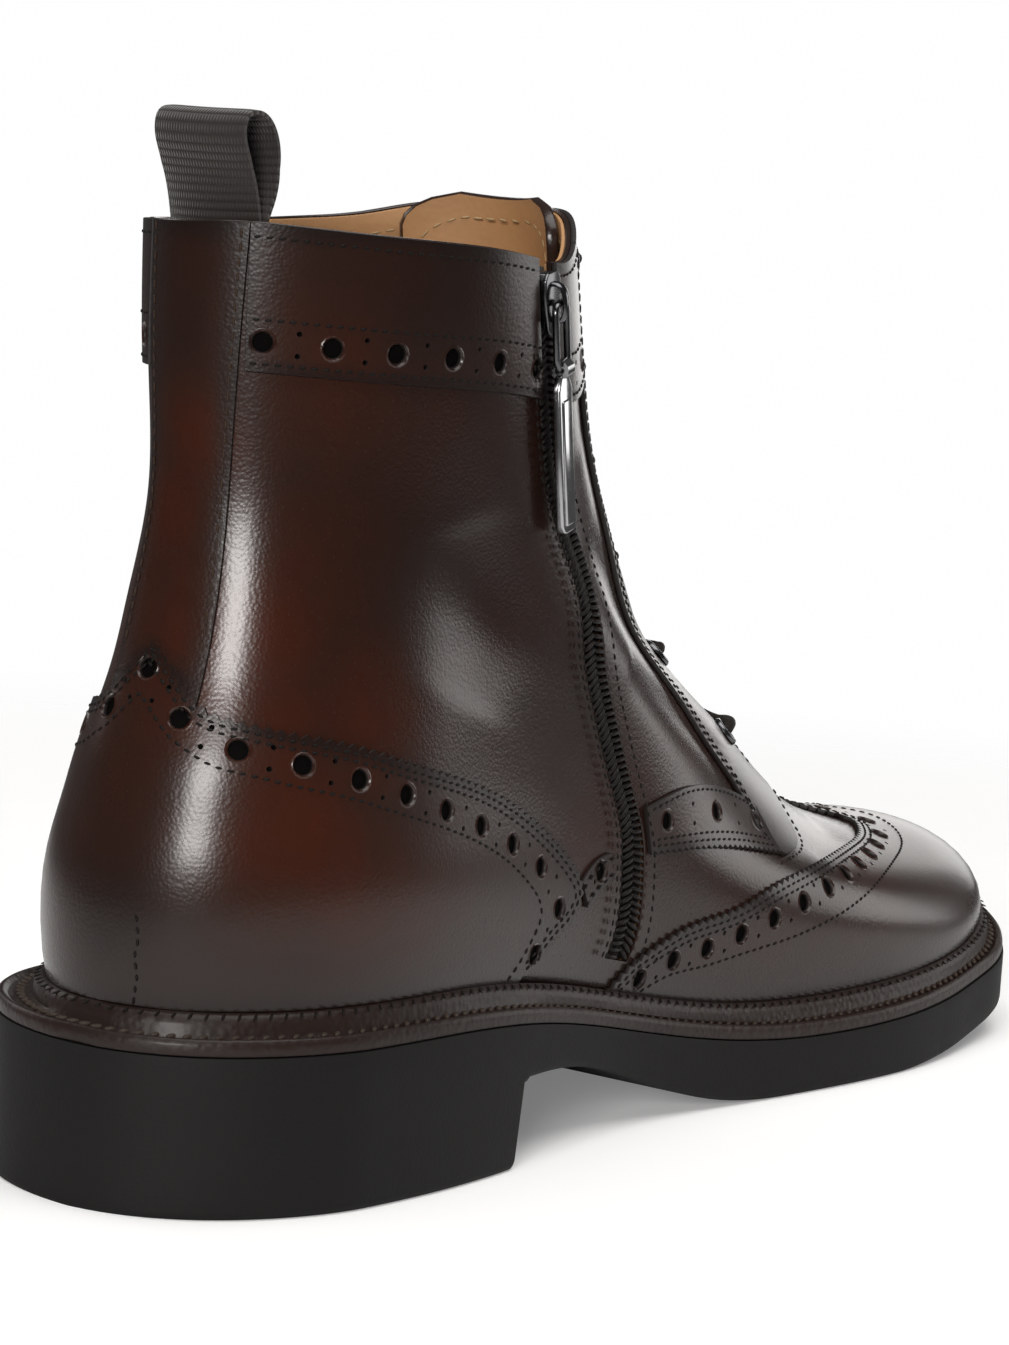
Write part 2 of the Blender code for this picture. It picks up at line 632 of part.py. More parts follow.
def collar_panel(name, start, end, columns):
    """A panel that runs along the collar between two turns, given by functions of the level."""
    drop_levels = level_span(0.1, 0.88, COLLAR_PANEL_DROP)
    share = np.linspace(0, 1, columns)
    head_level = 0.95
    foot_level = head_level - drop_levels
    head_turn = start(head_level) + (end(head_level) - start(head_level)) * share
    foot_turn = start(foot_level) + (end(foot_level) - start(foot_level)) * share
    head = np.c_[head_turn, collar_level(head_turn)]
    foot = np.c_[foot_turn, collar_level(foot_turn) - drop_levels]
    return ruled_piece(name, foot, head, 4, OVERLAY_LOW, OVERLAY_HIGH, LEATHER)


def strip_edge(side):
    def turn(level):
        wide = BACK_STRIP_HALF_WIDTH + FIT_GAP
        return (0.0 if side < 0 else 1.0) - side * turn_span(0.0, 0.9, wide)
    return turn


def zip_edge(side, beyond=0.0):
    def turn(level):
        middle = zip_turn(level)
        return middle + side * turn_span(middle, level, ZIP_SLOT_WIDTH / 2 + beyond)
    return turn


def facing_back(side):
    def turn(level):
        return throat_turn(level, side, FACING_WIDTH + FIT_GAP)
    return turn


def build_collar_panels():
    collar_panel("collar_panel_inner", strip_edge(-1), zip_edge(-1), 12)
    collar_panel("collar_panel_front", zip_edge(1), facing_back(-1), 4)
    collar_panel("collar_panel_outer", facing_back(1), strip_edge(1), 16)


def build_facing(name, side):
    """The eyestay: it runs down the throat's edge and ends in the quarter's rounded corner."""
    levels = np.linspace(0, 1, 13)
    across = np.linspace(0, 1, 6)
    foot_line = along_line(CORNER_EDGE, len(across))[::-1]
    if side > 0:
        foot_line = foot_line * (-1, 1) + (1, 0)
    grid = np.zeros((len(across), len(levels), 2))
    for i, share in enumerate(across):
        top_turn = throat_turn(0.96, side, FACING_WIDTH * share)
        top = float(collar_level(top_turn))
        run = foot_line[i, 1] + (top - foot_line[i, 1]) * levels
        edge = throat_turn(run, side, FACING_WIDTH * share)
        settle = ease(levels / 0.22)
        grid[i, :, 0] = foot_line[i, 0] * (1 - settle) + edge * settle
        grid[i, :, 1] = run
    return wall_piece(name, grid[..., 0], grid[..., 1], OVERLAY_LOW, OVERLAY_HIGH, LEATHER)


def build_quarter_band(name, side, start, columns):
    """The punched band along the quarter's lower edge, from a start turn to the corner."""
    line = along_line([(start[0], start[1]), *QUARTER_EDGE[1:]], columns)
    rise = level_span(0.28, 0.28, QUARTER_BAND_HEIGHT)
    head = line + (0, 1) * np.array(rise)
    if side > 0:
        line = line * (-1, 1) + (1, 0)
        head = head * (-1, 1) + (1, 0)
    return ruled_piece(name, line, head, 3, OVERLAY_LOW, OVERLAY_HIGH, LEATHER)


def zip_ribbon(name, start, width, low, high, colour, stop=None):
    """A ribbon along the zip's line, between two offsets of the surface."""
    if stop is None:
        stop = float(collar_level(0.29)) - 0.004
    levels = np.linspace(start, stop, 16)
    middle = zip_turn(levels)
    half = turn_span(middle, levels, width / 2)
    across = np.linspace(-1, 1, 3)
    turns = middle[None, :] + across[:, None] * half[None, :]
    return wall_piece(name, turns, np.tile(levels, (3, 1)), low, high, colour, 0.6)


def build_zip():
    tape_top = -(UPPER_WALL + LINING_GAP)
    zip_ribbon(
        "zip_tape", ZIP_END_LEVEL - 0.012, ZIP_TAPE_WIDTH, tape_top - ZIP_TAPE_THICKNESS, tape_top, WEBBING
    )
    reach = level_span(0.29, SLIDER_LEVEL, SLIDER_LENGTH / 2 + 3 * FIT_GAP)
    zip_ribbon(
        "zip_chain", ZIP_END_LEVEL + 0.003, ZIP_CHAIN_WIDTH, tape_top + FIT_GAP, ZIP_CHAIN_PROUD,
        WEBBING, SLIDER_LEVEL - float(reach),
    )


def slider_frame():
    """The slider's place: columns run across the zip, down it and out of the leather."""
    level = SLIDER_LEVEL
    step = 0.01
    place = surface_point(zip_turn(level), level)
    down = surface_point(zip_turn(level - step), level - step) - place
    down /= np.linalg.norm(down)
    out = surface_normal(zip_turn(level), level)
    across = np.cross(down, out)
    across /= np.linalg.norm(across)
    out = np.cross(across, down)
    frame = np.eye(4)
    frame[:3, 0], frame[:3, 1], frame[:3, 2], frame[:3, 3] = across, down, out, place
    return Matrix(frame.tolist())


def object_from(shape, name, colour, roughness, metallic, frame):
    bmesh.ops.transform(shape, matrix=frame, verts=shape.verts)
    vertices = [v.co.copy() for v in shape.verts]
    shape.verts.index_update()
    faces = [[v.index for v in face.verts] for face in shape.faces]
    shape.free()
    return make_object(name, vertices, faces, colour, roughness, metallic)


def cut_or_join(target, other, operation):
    """Applies an exact Boolean of two finished objects and removes the second one."""
    modifier = target.modifiers.new(operation.lower(), "BOOLEAN")
    modifier.operation = operation
    modifier.solver = "EXACT"
    modifier.object = other
    bpy.context.view_layer.update()
    graph = bpy.context.evaluated_depsgraph_get()
    mesh = bpy.data.meshes.new_from_object(target.evaluated_get(graph))
    target.modifiers.clear()
    old = target.data
    target.data = mesh
    mesh.name = target.name
    bpy.data.meshes.remove(old)
    bpy.data.objects.remove(other)


PIVOT_HEIGHT = SLIDER_TOP + WIRE_CLEARANCE + WIRE_RADIUS + 0.0003


def build_slider(frame):
    """A tapered plate over the chain, with the bridge that holds the pull's link."""
    half = SLIDER_WIDTH / 2
    outline = (
        (-half, -SLIDER_LENGTH / 2), (half, -SLIDER_LENGTH / 2), (half, 0.0),
        (0.72 * half, SLIDER_LENGTH / 2), (-0.72 * half, SLIDER_LENGTH / 2), (-half, 0.0),
    )
    low = -(UPPER_WALL + LINING_GAP) + 2 * FIT_GAP
    shape = bmesh.new()
    ring = [shape.verts.new((x, y, low)) for x, y in outline]
    base = shape.faces.new(ring)
    made = bmesh.ops.extrude_face_region(shape, geom=[base])["geom"]
    lifted = [v for v in made if isinstance(v, bmesh.types.BMVert)]
    bmesh.ops.translate(shape, vec=(0, 0, SLIDER_TOP - low), verts=lifted)
    plate = object_from(shape, "zip_slider", GUNMETAL, 0.25, 1.0, frame)
    # The bridge is an arch in one piece: two feet in the plate and a bar over the link.
    inner_top = PIVOT_HEIGHT + WIRE_RADIUS + WIRE_CLEARANCE
    reach = BRIDGE_LENGTH / 2
    foot_in = reach - BRIDGE_THICKNESS
    sunk = SLIDER_TOP - 0.0006
    crown = inner_top + BRIDGE_THICKNESS
    arch = (
        (-reach, sunk), (-foot_in, sunk), (-foot_in, inner_top * 0.9), (-0.6 * foot_in, inner_top),
        (0.6 * foot_in, inner_top), (foot_in, inner_top * 0.9), (foot_in, sunk), (reach, sunk),
        (reach, inner_top), (0.65 * reach, crown), (-0.65 * reach, crown), (-reach, inner_top),
    )
    shape = bmesh.new()
    ring = [shape.verts.new((-BRIDGE_WIDTH / 2, y, z)) for y, z in arch]
    base = shape.faces.new(ring)
    made = bmesh.ops.extrude_face_region(shape, geom=[base])["geom"]
    lifted = [v for v in made if isinstance(v, bmesh.types.BMVert)]
    bmesh.ops.translate(shape, vec=(BRIDGE_WIDTH, 0, 0), verts=lifted)
    bridge = object_from(shape, "bridge", GUNMETAL, 0.25, 1.0, frame)
    cut_or_join(plate, bridge, "UNION")


def tube(points, radius, sides, closed=False):
    """Vertices and faces of a tube through the points, with flat caps unless it is closed."""
    places = [Vector(p) for p in points]
    count = len(places)
    vertices = []
    side = None
    for i, place in enumerate(places):
        if closed:
            heading = places[(i + 1) % count] - places[i - 1]
        else:
            heading = places[min(i + 1, count - 1)] - places[max(i - 1, 0)]
        heading.normalize()
        if side is None:
            side = heading.orthogonal()
        side = (side - heading * side.dot(heading)).normalized()
        other = heading.cross(side)
        for k in range(sides):
            angle = 2 * math.pi * k / sides
            vertices.append(place + (side * math.cos(angle) + other * math.sin(angle)) * radius)
    faces = []
    for i in range(count if closed else count - 1):
        following = (i + 1) % count
        for k in range(sides):
            after = (k + 1) % sides
            faces.append((
                i * sides + k, i * sides + after, following * sides + after, following * sides + k,
            ))
    if not closed:
        faces.append(tuple(range(sides)))
        faces.append(tuple(range((count - 1) * sides, count * sides)))
    return vertices, faces


def build_link(frame):
    """A wire ring in a plane over the leather, round the bridge and through the tab's eye."""
    half = LINK_WIDTH / 2 - WIRE_RADIUS
    corner = half * 0.55
    points = []
    for sign_x, sign_y, start in ((1, 1, 0), (-1, 1, 90), (-1, -1, 180), (1, -1, 270)):
        for k in range(4):
            angle = math.radians(start + 30 * k)
            x = sign_x * (half - corner) + corner * math.cos(angle)
            y = (LINK_LENGTH if sign_y > 0 else 0.0) - sign_y * corner + corner * math.sin(angle)
            points.append(frame @ Vector((x, y, PIVOT_HEIGHT)))
    vertices, faces = tube(points, WIRE_RADIUS, 7, closed=True)
    return make_object("zip_pull_link", vertices, faces, GUNMETAL, 0.25, 1.0)


def build_tab(frame):
    """A flat bar that hangs on the link by an eye round its lower wire."""
    bore = WIRE_RADIUS + WIRE_CLEARANCE
    eye = bore + TAB_EYE_WALL
    thick = TAB_THICKNESS / 2
    eye_half = LINK_WIDTH / 2 - 2 * WIRE_RADIUS - WIRE_CLEARANCE
    # The bar leaves the eye through the gap between the first angle and the last.
    mouth = math.asin(min(thick / eye, 0.9))
    angles = np.linspace(mouth, 2 * math.pi - mouth, 13)
    count = len(angles)
    spots = []
    for x in (-eye_half, eye_half):
        for radius in (bore, eye):
            for angle in angles:
                y = LINK_LENGTH + radius * math.cos(angle)
                spots.append((x, y, PIVOT_HEIGHT + radius * math.sin(angle)))
    faces = []
    for k in range(count):
        after = (k + 1) % count
        left_in, left_out, right_in, right_out = (ring * count for ring in range(4))
        faces.append((left_in + k, left_in + after, left_out + after, left_out + k))
        faces.append((right_in + k, right_in + after, right_out + after, right_out + k))
        faces.append((left_in + k, left_in + after, right_in + after, right_in + k))
        if k < count - 1:
            faces.append((left_out + k, left_out + after, right_out + after, right_out + k))
    neck = LINK_LENGTH + eye + TAB_CORNER
    end = LINK_LENGTH + TAB_LENGTH
    wide = TAB_WIDTH / 2
    ring = [count, 3 * count, 4 * count - 1, 2 * count - 1]
    for half, y in (
        (eye_half, neck), (wide, neck + 1.5 * TAB_CORNER), (wide, end - TAB_CORNER), (wide - TAB_CORNER, end),
    ):
        first = len(spots)
        for x, z in ((-half, thick), (half, thick), (half, -thick), (-half, -thick)):
            spots.append((x, y, PIVOT_HEIGHT + z))
        for k in range(4):
            after = (k + 1) % 4
            faces.append((ring[k], ring[after], first + after, first + k))
        ring = [first + k for k in range(4)]
    faces.append(tuple(ring))
    vertices = [frame @ Vector(spot) for spot in spots]
    return make_object("zip_pull_tab", vertices, faces, GUNMETAL, 0.2, 1.0)


def build_pull_loop():
    """A folded webbing loop, tucked inside the collar at the back."""
    rest = UPPER_WALL + LINING_GAP + FIT_GAP + PULL_LOOP_THICKNESS / 2
    inner_leg = rest + PULL_LOOP_THICKNESS + FIT_GAP
    tall = PULL_LOOP_HEIGHT - PULL_LOOP_THICKNESS / 2
    # The loop's fold: distance out of the collar's outside, then height over the collar
    route = (
        (-rest, -PULL_LOOP_TUCK), (-rest, -0.5 * PULL_LOOP_TUCK), (-rest, 0.0),
        (-rest + 0.0002, 0.25 * tall), (-rest + 0.0016, 0.55 * tall), (-rest + 0.0036, 0.80 * tall),
        (-rest + 0.0030, 0.95 * tall), (-rest + 0.0004, tall), (-rest - 0.0030, 0.95 * tall),
        (-rest - 0.0060, 0.74 * tall), (-rest - 0.0064, 0.48 * tall), (-inner_leg - 0.0024, 0.18 * tall),
        (-inner_leg - 0.0003, 0.0), (-inner_leg, -0.5 * PULL_LOOP_TUCK), (-inner_leg, -PULL_LOOP_TUCK),
    )
    table = np.array(route)
    reach = np.r_[0, np.cumsum(np.linalg.norm(np.diff(table, axis=0), axis=1))]
    curve = smooth_line(np.c_[reach, table])
    path = curve(np.linspace(0, reach[-1], 23))
    heading = np.gradient(path, axis=0)
    heading /= np.linalg.norm(heading, axis=1, keepdims=True)
    sideways = np.c_[-heading[:, 1], heading[:, 0]] * PULL_LOOP_THICKNESS / 2
    level = float(collar_level(0.0))
    half = turn_span(0.0, level, PULL_LOOP_WIDTH / 2)
    turns = np.linspace(-half, half, 4)
    rim = base_point(turns, level)
    hollow = rim[:, 0] - base_point(0.0, level)[0]

    def skin(fold):
        # The webbing curves with the collar, and lies flatter higher up.
        curved = 1 - 0.75 * np.clip(fold[:, 1] / (0.5 * tall), 0, 1)
        x = rim[:, :1] - hollow[:, None] * (1 - curved) - fold[:, 0]
        y = np.broadcast_to(rim[:, 1:2], x.shape)
        return np.stack([x, y, rim[:, 2:] + fold[:, 1]], -1)

    keep = np.ones((len(turns), len(path) - 1), bool)
    vertices, faces = join_skins(skin(path - sideways), skin(path + sideways), keep)
    return make_object("pull_loop", vertices, faces, WEBBING, 0.8)


def eyelet_levels():
    return np.linspace(THROAT_LEVEL + 0.075, 0.940, EYELET_PAIRS)


def eyelet_place(level, side):
    return throat_turn(level, side, EYELET_INSET)


def build_eyelets():
    low = OVERLAY_HIGH + FIT_GAP
    for side, word in ((-1, "inner"), (1, "outer")):
        for number, level in enumerate(eyelet_levels(), 1):
            turn = eyelet_place(level, side)
            place = surface_point(turn, level, low)
            normal = Vector(surface_normal(turn, level))
            turned = normal.to_track_quat("Z", "Y").to_matrix().to_4x4()
            frame = Matrix.Translation(Vector(place)) @ turned
            vertices = []
            sides = 6
            for radius, height in (
                (EYELET_HOLE_RADIUS, 0), (EYELET_RADIUS, 0),
                (EYELET_RADIUS, EYELET_THICKNESS), (EYELET_HOLE_RADIUS, EYELET_THICKNESS),
            ):
                for k in range(sides):
                    angle = 2 * math.pi * k / sides
                    spot = Vector((radius * math.cos(angle), radius * math.sin(angle), height))
                    vertices.append(frame @ spot)
            faces = []
            for ring in range(4):
                after = (ring + 1) % 4
                for k in range(sides):
                    beside = (k + 1) % sides
                    faces.append((
                        ring * sides + k, ring * sides + beside,
                        after * sides + beside, after * sides + k,
                    ))
            make_object(f"eyelet_{word}_{number}", vertices, faces, GUNMETAL, 0.3, 1.0)


def front_spot(level, side, across, up):
    """(turn, level) of a point beside an eyelet: metres out from it and up the front."""
    level = level + float(level_span(0.5, level, up))
    return float(throat_turn(level, side, EYELET_INSET + across)), level


def build_lace():
    """The laces' crossings as one net of flat cord that lies over the eyelets."""
    low = OVERLAY_HIGH + 2 * FIT_GAP + EYELET_THICKNESS + LACE_LIFT
    levels = eyelet_levels()
    half = LACE_WIDTH / 2
    spots = []
    rings = []

    def add(*new):
        first = len(spots)
        spots.extend(new)
        return list(range(first, first + len(new)))

    def strip(start, end):
        """Cells of cord between two edges, each an upper and a lower spot."""
        before = start
        for k in range(1, LACE_STEPS + 1):
            share = k / LACE_STEPS
            after = end
            if k < LACE_STEPS:
                after = add(*[
                    tuple(np.array(spots[a]) * (1 - share) + np.array(spots[b]) * share)
                    for a, b in zip(start, end)
                ])
            rings.append((before[0], before[1], after[1], after[0]))
            before = after

    pads = {}
    for row, level in enumerate(levels):
        for side in (-1, 1):
            corners = add(*[
                front_spot(level, side, across, up) for across, up in (
                    (LACE_WIDTH, -LACE_WIDTH), (-half, -LACE_WIDTH), (-half, 0.0), (-half, LACE_WIDTH),
                    (LACE_WIDTH, LACE_WIDTH),
                )
            ])
            rings.append(corners if side < 0 else corners[::-1])
            pads[row, side] = corners
    for row in range(len(levels) - 1):
        level = (levels[row] + levels[row + 1]) / 2
        wide = float(turn_span(0.5, level, 0.9 * LACE_WIDTH))
        tall = float(level_span(0.5, level, 0.65 * LACE_WIDTH))
        left, under, right, over = add(
            (0.5 - wide, level), (0.5, level - tall), (0.5 + wide, level), (0.5, level + tall)
        )
        rings.append((left, under, right, over))
        for start, end in (
            ((pads[row, -1][3], pads[row, -1][2]), (left, under)),
            ((pads[row + 1, -1][2], pads[row + 1, -1][1]), (over, left)),
            ((pads[row, 1][2], pads[row, 1][3]), (under, right)),
            ((pads[row + 1, 1][1], pads[row + 1, 1][2]), (right, over)),
        ):
            strip(start, end)
    strip((pads[0, -1][2], pads[0, -1][1]), (pads[0, 1][2], pads[0, 1][1]))
    grid = np.array(spots)
    outside = surface_point(grid[:, 0], grid[:, 1], low + LACE_THICKNESS)
    inside = surface_point(grid[:, 0], grid[:, 1], low)
    vertices, faces = close_skins(outside, inside, rings)
    return make_object("lace_crossings", vertices, faces, WEBBING, 0.8)


def centre_on_origin():
    """Moves every solid so that the origin is under the middle of the boot's box."""
    things = [thing for thing in bpy.context.scene.objects if thing.type == "MESH"]
    corners = np.array([v.co[:] for thing in things for v in thing.data.vertices])
    low, high = corners.min(axis=0), corners.max(axis=0)
    middle = Vector(((low[0] + high[0]) / 2, (low[1] + high[1]) / 2, low[2]))
    for thing in things:
        thing.data.transform(Matrix.Translation(-middle))
    return middle


def main():
    for thing in list(bpy.data.objects):
        bpy.data.objects.remove(thing)
    build_outsole()
    build_welt()
    build_insole()
    build_upper()
    build_tongue()
    build_counter()
    build_cap()
    build_back_strip()
    build_collar_panels()
    build_facing("facing_inner", -1)
    build_facing("facing_outer", 1)
    build_quarter_band("quarter_band_inner", -1, (0.2430, 0.215), 9)
    build_quarter_band("quarter_band_outer", 1, (0.2140, 0.172), 11)
    build_zip()
    frame = slider_frame()
    build_slider(frame)
    build_link(frame)
    build_tab(frame)
    build_pull_loop()
    build_eyelets()
    build_lace()
    middle = centre_on_origin()
    pivot = frame @ Vector((0, 0, PIVOT_HEIGHT)) - middle
    lower = frame @ Vector((0, LINK_LENGTH, PIVOT_HEIGHT)) - middle
    print("link pivot", [round(v, 5) for v in pivot], "tab pivot", [round(v, 5) for v in lower])
    print("pivot axis", [round(v, 5) for v in frame.col[0][:3]], "moved by", [round(v, 5) for v in middle])


main()
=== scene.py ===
# Looks of a left wingtip brogue ankle boot: leather, punching, stitches, zip, webbing and sole.
import math

import bmesh
import bpy
import numpy as np
from mathutils import Matrix, Vector
from mathutils.geometry import delaunay_2d_cdt


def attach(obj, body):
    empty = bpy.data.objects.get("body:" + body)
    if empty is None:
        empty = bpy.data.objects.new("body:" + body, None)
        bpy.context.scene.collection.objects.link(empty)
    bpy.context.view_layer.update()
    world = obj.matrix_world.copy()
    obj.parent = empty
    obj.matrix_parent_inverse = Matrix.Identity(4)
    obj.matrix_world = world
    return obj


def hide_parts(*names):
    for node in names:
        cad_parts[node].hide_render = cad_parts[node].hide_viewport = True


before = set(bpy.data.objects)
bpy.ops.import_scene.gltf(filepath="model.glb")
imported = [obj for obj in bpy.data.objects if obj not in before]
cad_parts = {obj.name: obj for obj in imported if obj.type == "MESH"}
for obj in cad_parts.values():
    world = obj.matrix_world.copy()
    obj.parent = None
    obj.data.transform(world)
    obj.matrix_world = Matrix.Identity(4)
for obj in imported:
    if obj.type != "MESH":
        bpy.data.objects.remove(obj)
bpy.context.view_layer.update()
print("frame loaded")

# The last's surface, in shares of its own sizes
last = {
    "soleLength": 0.308,
    "ballWidth": 0.106,
    "heelHeight": 0.030,
    "forefootRubber": 0.012,
    "toeSpring": 0.013,
    "waistClearance": 0.0174,
    "breastX": 0.088,
    "breastSlope": 0.0035,
    "instepHeight": 0.080,
    "shaftHeight": 0.148,
    "frontHeight": 0.1636,
    "heelRound": 0.040,
    "toeRound": 0.066,
    "fitGap": 0.0003,
    "moved": (0.154, 0.00529, 0.0),  # from the heel's back to the middle of the box
}
sectionColumns = (
    "level", "backX", "backRise", "frontX", "frontFoot", "frontShaft",
    "innerHeel", "innerWaist", "innerBall", "innerToe", "outerHeel", "outerWaist", "outerBall", "outerToe",
)
sectionRows = (
    (0.00, 0.026, 0.000, 0.969, 0.000, 0.000, 0.287, 0.264, 0.365, 0.275, 0.285, 0.366, 0.468, 0.280),
    (0.05, 0.020, 0.054, 0.978, 0.100, 0.000, 0.308, 0.297, 0.383, 0.294, 0.321, 0.387, 0.483, 0.303),
    (0.12, 0.017, 0.168, 0.959, 0.231, 0.000, 0.323, 0.311, 0.388, 0.269, 0.326, 0.362, 0.476, 0.292),
    (0.20, 0.024, 0.265, 0.888, 0.360, 0.000, 0.311, 0.307, 0.344, 0.208, 0.296, 0.328, 0.405, 0.226),
    (0.30, 0.033, 0.345, 0.770, 0.489, 0.000, 0.292, 0.302, 0.297, 0.166, 0.265, 0.314, 0.329, 0.170),
    (0.42, 0.048, 0.439, 0.641, 0.778, 0.000, 0.264, 0.297, 0.273, 0.152, 0.229, 0.305, 0.287, 0.156),
    (0.54, 0.059, 0.536, 0.534, 1.000, 0.005, 0.236, 0.288, 0.270, 0.146, 0.203, 0.294, 0.273, 0.156),
    (0.66, 0.067, 0.654, 0.465, 1.000, 0.254, 0.208, 0.292, 0.265, 0.146, 0.178, 0.294, 0.268, 0.156),
    (0.82, 0.067, 0.828, 0.422, 1.000, 0.577, 0.198, 0.307, 0.269, 0.152, 0.187, 0.307, 0.274, 0.160),
    (1.00, 0.067, 1.061, 0.394, 1.000, 1.000, 0.198, 0.317, 0.266, 0.150, 0.197, 0.316, 0.283, 0.165),
)
stations = np.array((0.12, 0.40, 0.74, 0.93))
soleRows = (  # along, inner, outer
    (0.00, 0.340, 0.415), (0.06, 0.342, 0.400), (0.15, 0.372, 0.384), (0.27, 0.378, 0.402),
    (0.41, 0.340, 0.452), (0.54, 0.376, 0.518), (0.65, 0.428, 0.547), (0.76, 0.446, 0.520),
    (0.85, 0.436, 0.468), (0.93, 0.455, 0.440), (1.00, 0.380, 0.400),
)
bedFall = (0.16, 0.665)
bedLift = 0.633
treadFlat = (0.60, 0.72)
collarLine = (
    (0.000, 0.955), (0.045, 0.957), (0.114, 0.951), (0.181, 0.941), (0.262, 0.928), (0.335, 0.931),
    (0.385, 0.966), (0.425, 0.984), (0.460, 0.988), (0.540, 0.988), (0.590, 0.981), (0.640, 0.962),
    (0.690, 0.948), (0.740, 0.940), (0.820, 0.943), (0.900, 0.950), (1.000, 0.955),
)
zipLine = (
    (0.218, 0.060), (0.223, 0.087), (0.229, 0.135), (0.236, 0.190), (0.254, 0.293), (0.265, 0.380),
    (0.281, 0.480), (0.297, 0.545), (0.302, 0.585), (0.298, 0.630), (0.294, 0.680), (0.293, 0.764),
    (0.291, 0.850), (0.289, 0.960),
)
throatGap = (
    (0.00, 0.0040), (0.30, 0.0062), (0.36, 0.0078), (0.45, 0.0066), (0.60, 0.0055), (0.80, 0.0062),
    (1.00, 0.0090),
)
throatLevel = 0.338
zipEndLevel = 0.078


def runLengths(points):  # the way walked along a row of points
    return np.r_[0, np.cumsum(np.linalg.norm(np.diff(points, axis=0), axis=1))]


def naturalBends(knots, values):
    count = len(knots)
    matrix = np.zeros((count, count))
    right = np.zeros(values.shape)
    matrix[0, 0] = matrix[-1, -1] = 1.0
    for i in range(1, count - 1):
        before = knots[i] - knots[i - 1]
        after = knots[i + 1] - knots[i]
        matrix[i, i - 1: i + 2] = before, 2 * (before + after), after
        right[i] = 6 * ((values[i + 1] - values[i]) / after - (values[i] - values[i - 1]) / before)
    return np.linalg.solve(matrix, right)


def smoothLine(rows):  # reads a smooth curve through rows of (x, value, value, ...)
    table = np.array(rows, float)
    knots = table[:, 0]
    values = table[:, 1:]
    bends = naturalBends(knots, values)

    def read(x):
        x = np.clip(np.asarray(x, float), knots[0], knots[-1])
        i = np.clip(np.searchsorted(knots, x) - 1, 0, len(knots) - 2)
        step = (knots[i + 1] - knots[i])[..., None]
        a = (knots[i + 1][..., None] - x[..., None]) / step
        b = 1 - a
        curve = (a ** 3 - a) * bends[i] + (b ** 3 - b) * bends[i + 1]
        return a * values[i] + b * values[i + 1] + curve * step ** 2 / 6

    return read


def smoothPath(points, count):  # even steps along a smooth curve through the points
    table = np.array(points)
    reach = runLengths(table)
    return smoothLine(np.c_[reach, table])(np.linspace(0, reach[-1], count))


def ease(x):
    x = np.clip(x, 0, 1)
    return x ** 3 * (x * (6 * x - 15) + 10)


def bedHeight(x):
    along = np.asarray(x, float) / last["soleLength"]
    fall = ease((along - bedFall[0]) / (bedFall[1] - bedFall[0]))
    lift = np.clip((along - bedLift) / (1 - bedLift), 0, None) ** 2.4
    drop = last["forefootRubber"] - last["heelHeight"]
    return last["heelHeight"] + drop * fall + last["toeSpring"] * lift


def treadHeight(x):
    along = np.asarray(x, float) / last["soleLength"]
    breast = last["breastX"] / last["soleLength"]
    arch = 1 - ease((along - breast) / (treadFlat[0] - breast))
    lift = np.clip((along - treadFlat[1]) / (1 - treadFlat[1]), 0, None) ** 1.7
    return last["waistClearance"] * arch + last["toeSpring"] * lift


def scaledSections():
    rows = []
    for row in sectionRows:
        named = dict(zip(sectionColumns, row))
        shaftRise = named["frontShaft"] * (last["frontHeight"] - last["instepHeight"])
        rows.append([
            named["level"], named["backX"] * last["soleLength"], named["backRise"] * last["shaftHeight"],
            named["frontX"] * last["soleLength"], named["frontFoot"] * last["instepHeight"] + shaftRise,
            *[named[column] * last["ballWidth"] for column in sectionColumns[6:]],
        ])
    return rows


section = smoothLine(scaledSections())
soleWidth = smoothLine(soleRows)
collarLevelAt = smoothLine(collarLine)
zipTurnAt = smoothLine([(level, turn) for turn, level in zipLine])
throatGapAt = smoothLine(throatGap)
stationSteps = np.diff(stations)


def stationWidth(widths, along):
    values = widths / (2 * np.sqrt(stations * (1 - stations)))
    slopes = np.diff(values, axis=-1) / stationSteps
    first, middle, final = stationSteps
    pullA = 6 * (slopes[..., 1] - slopes[..., 0])
    pullB = 6 * (slopes[..., 2] - slopes[..., 1])
    spread = 4 * (first + middle) * (middle + final) - middle ** 2
    bendA = (2 * (middle + final) * pullA - middle * pullB) / spread
    bendB = (2 * (first + middle) * pullB - middle * pullA) / spread
    none = np.zeros_like(bendA)
    bends = np.stack([none, bendA, bendB, none], -1)
    i = np.clip(np.searchsorted(stations, along) - 1, 0, 2)

    def take(table, k):
        return np.take_along_axis(table, k[..., None], -1)[..., 0]

    step = stationSteps[i]
    a = (stations[i + 1] - along) / step
    b = 1 - a
    inside = (
        a * take(values, i) + b * take(values, i + 1)
        + ((a ** 3 - a) * take(bends, i) + (b ** 3 - b) * take(bends, i + 1)) * step ** 2 / 6
    )
    before = values[..., 0] + (slopes[..., 0] - bendA * first / 6) * (along - stations[0])
    after = values[..., 3] + (slopes[..., 2] + bendB * final / 6) * (along - stations[3])
    return np.where(along < stations[0], before, np.where(along > stations[3], after, inside))


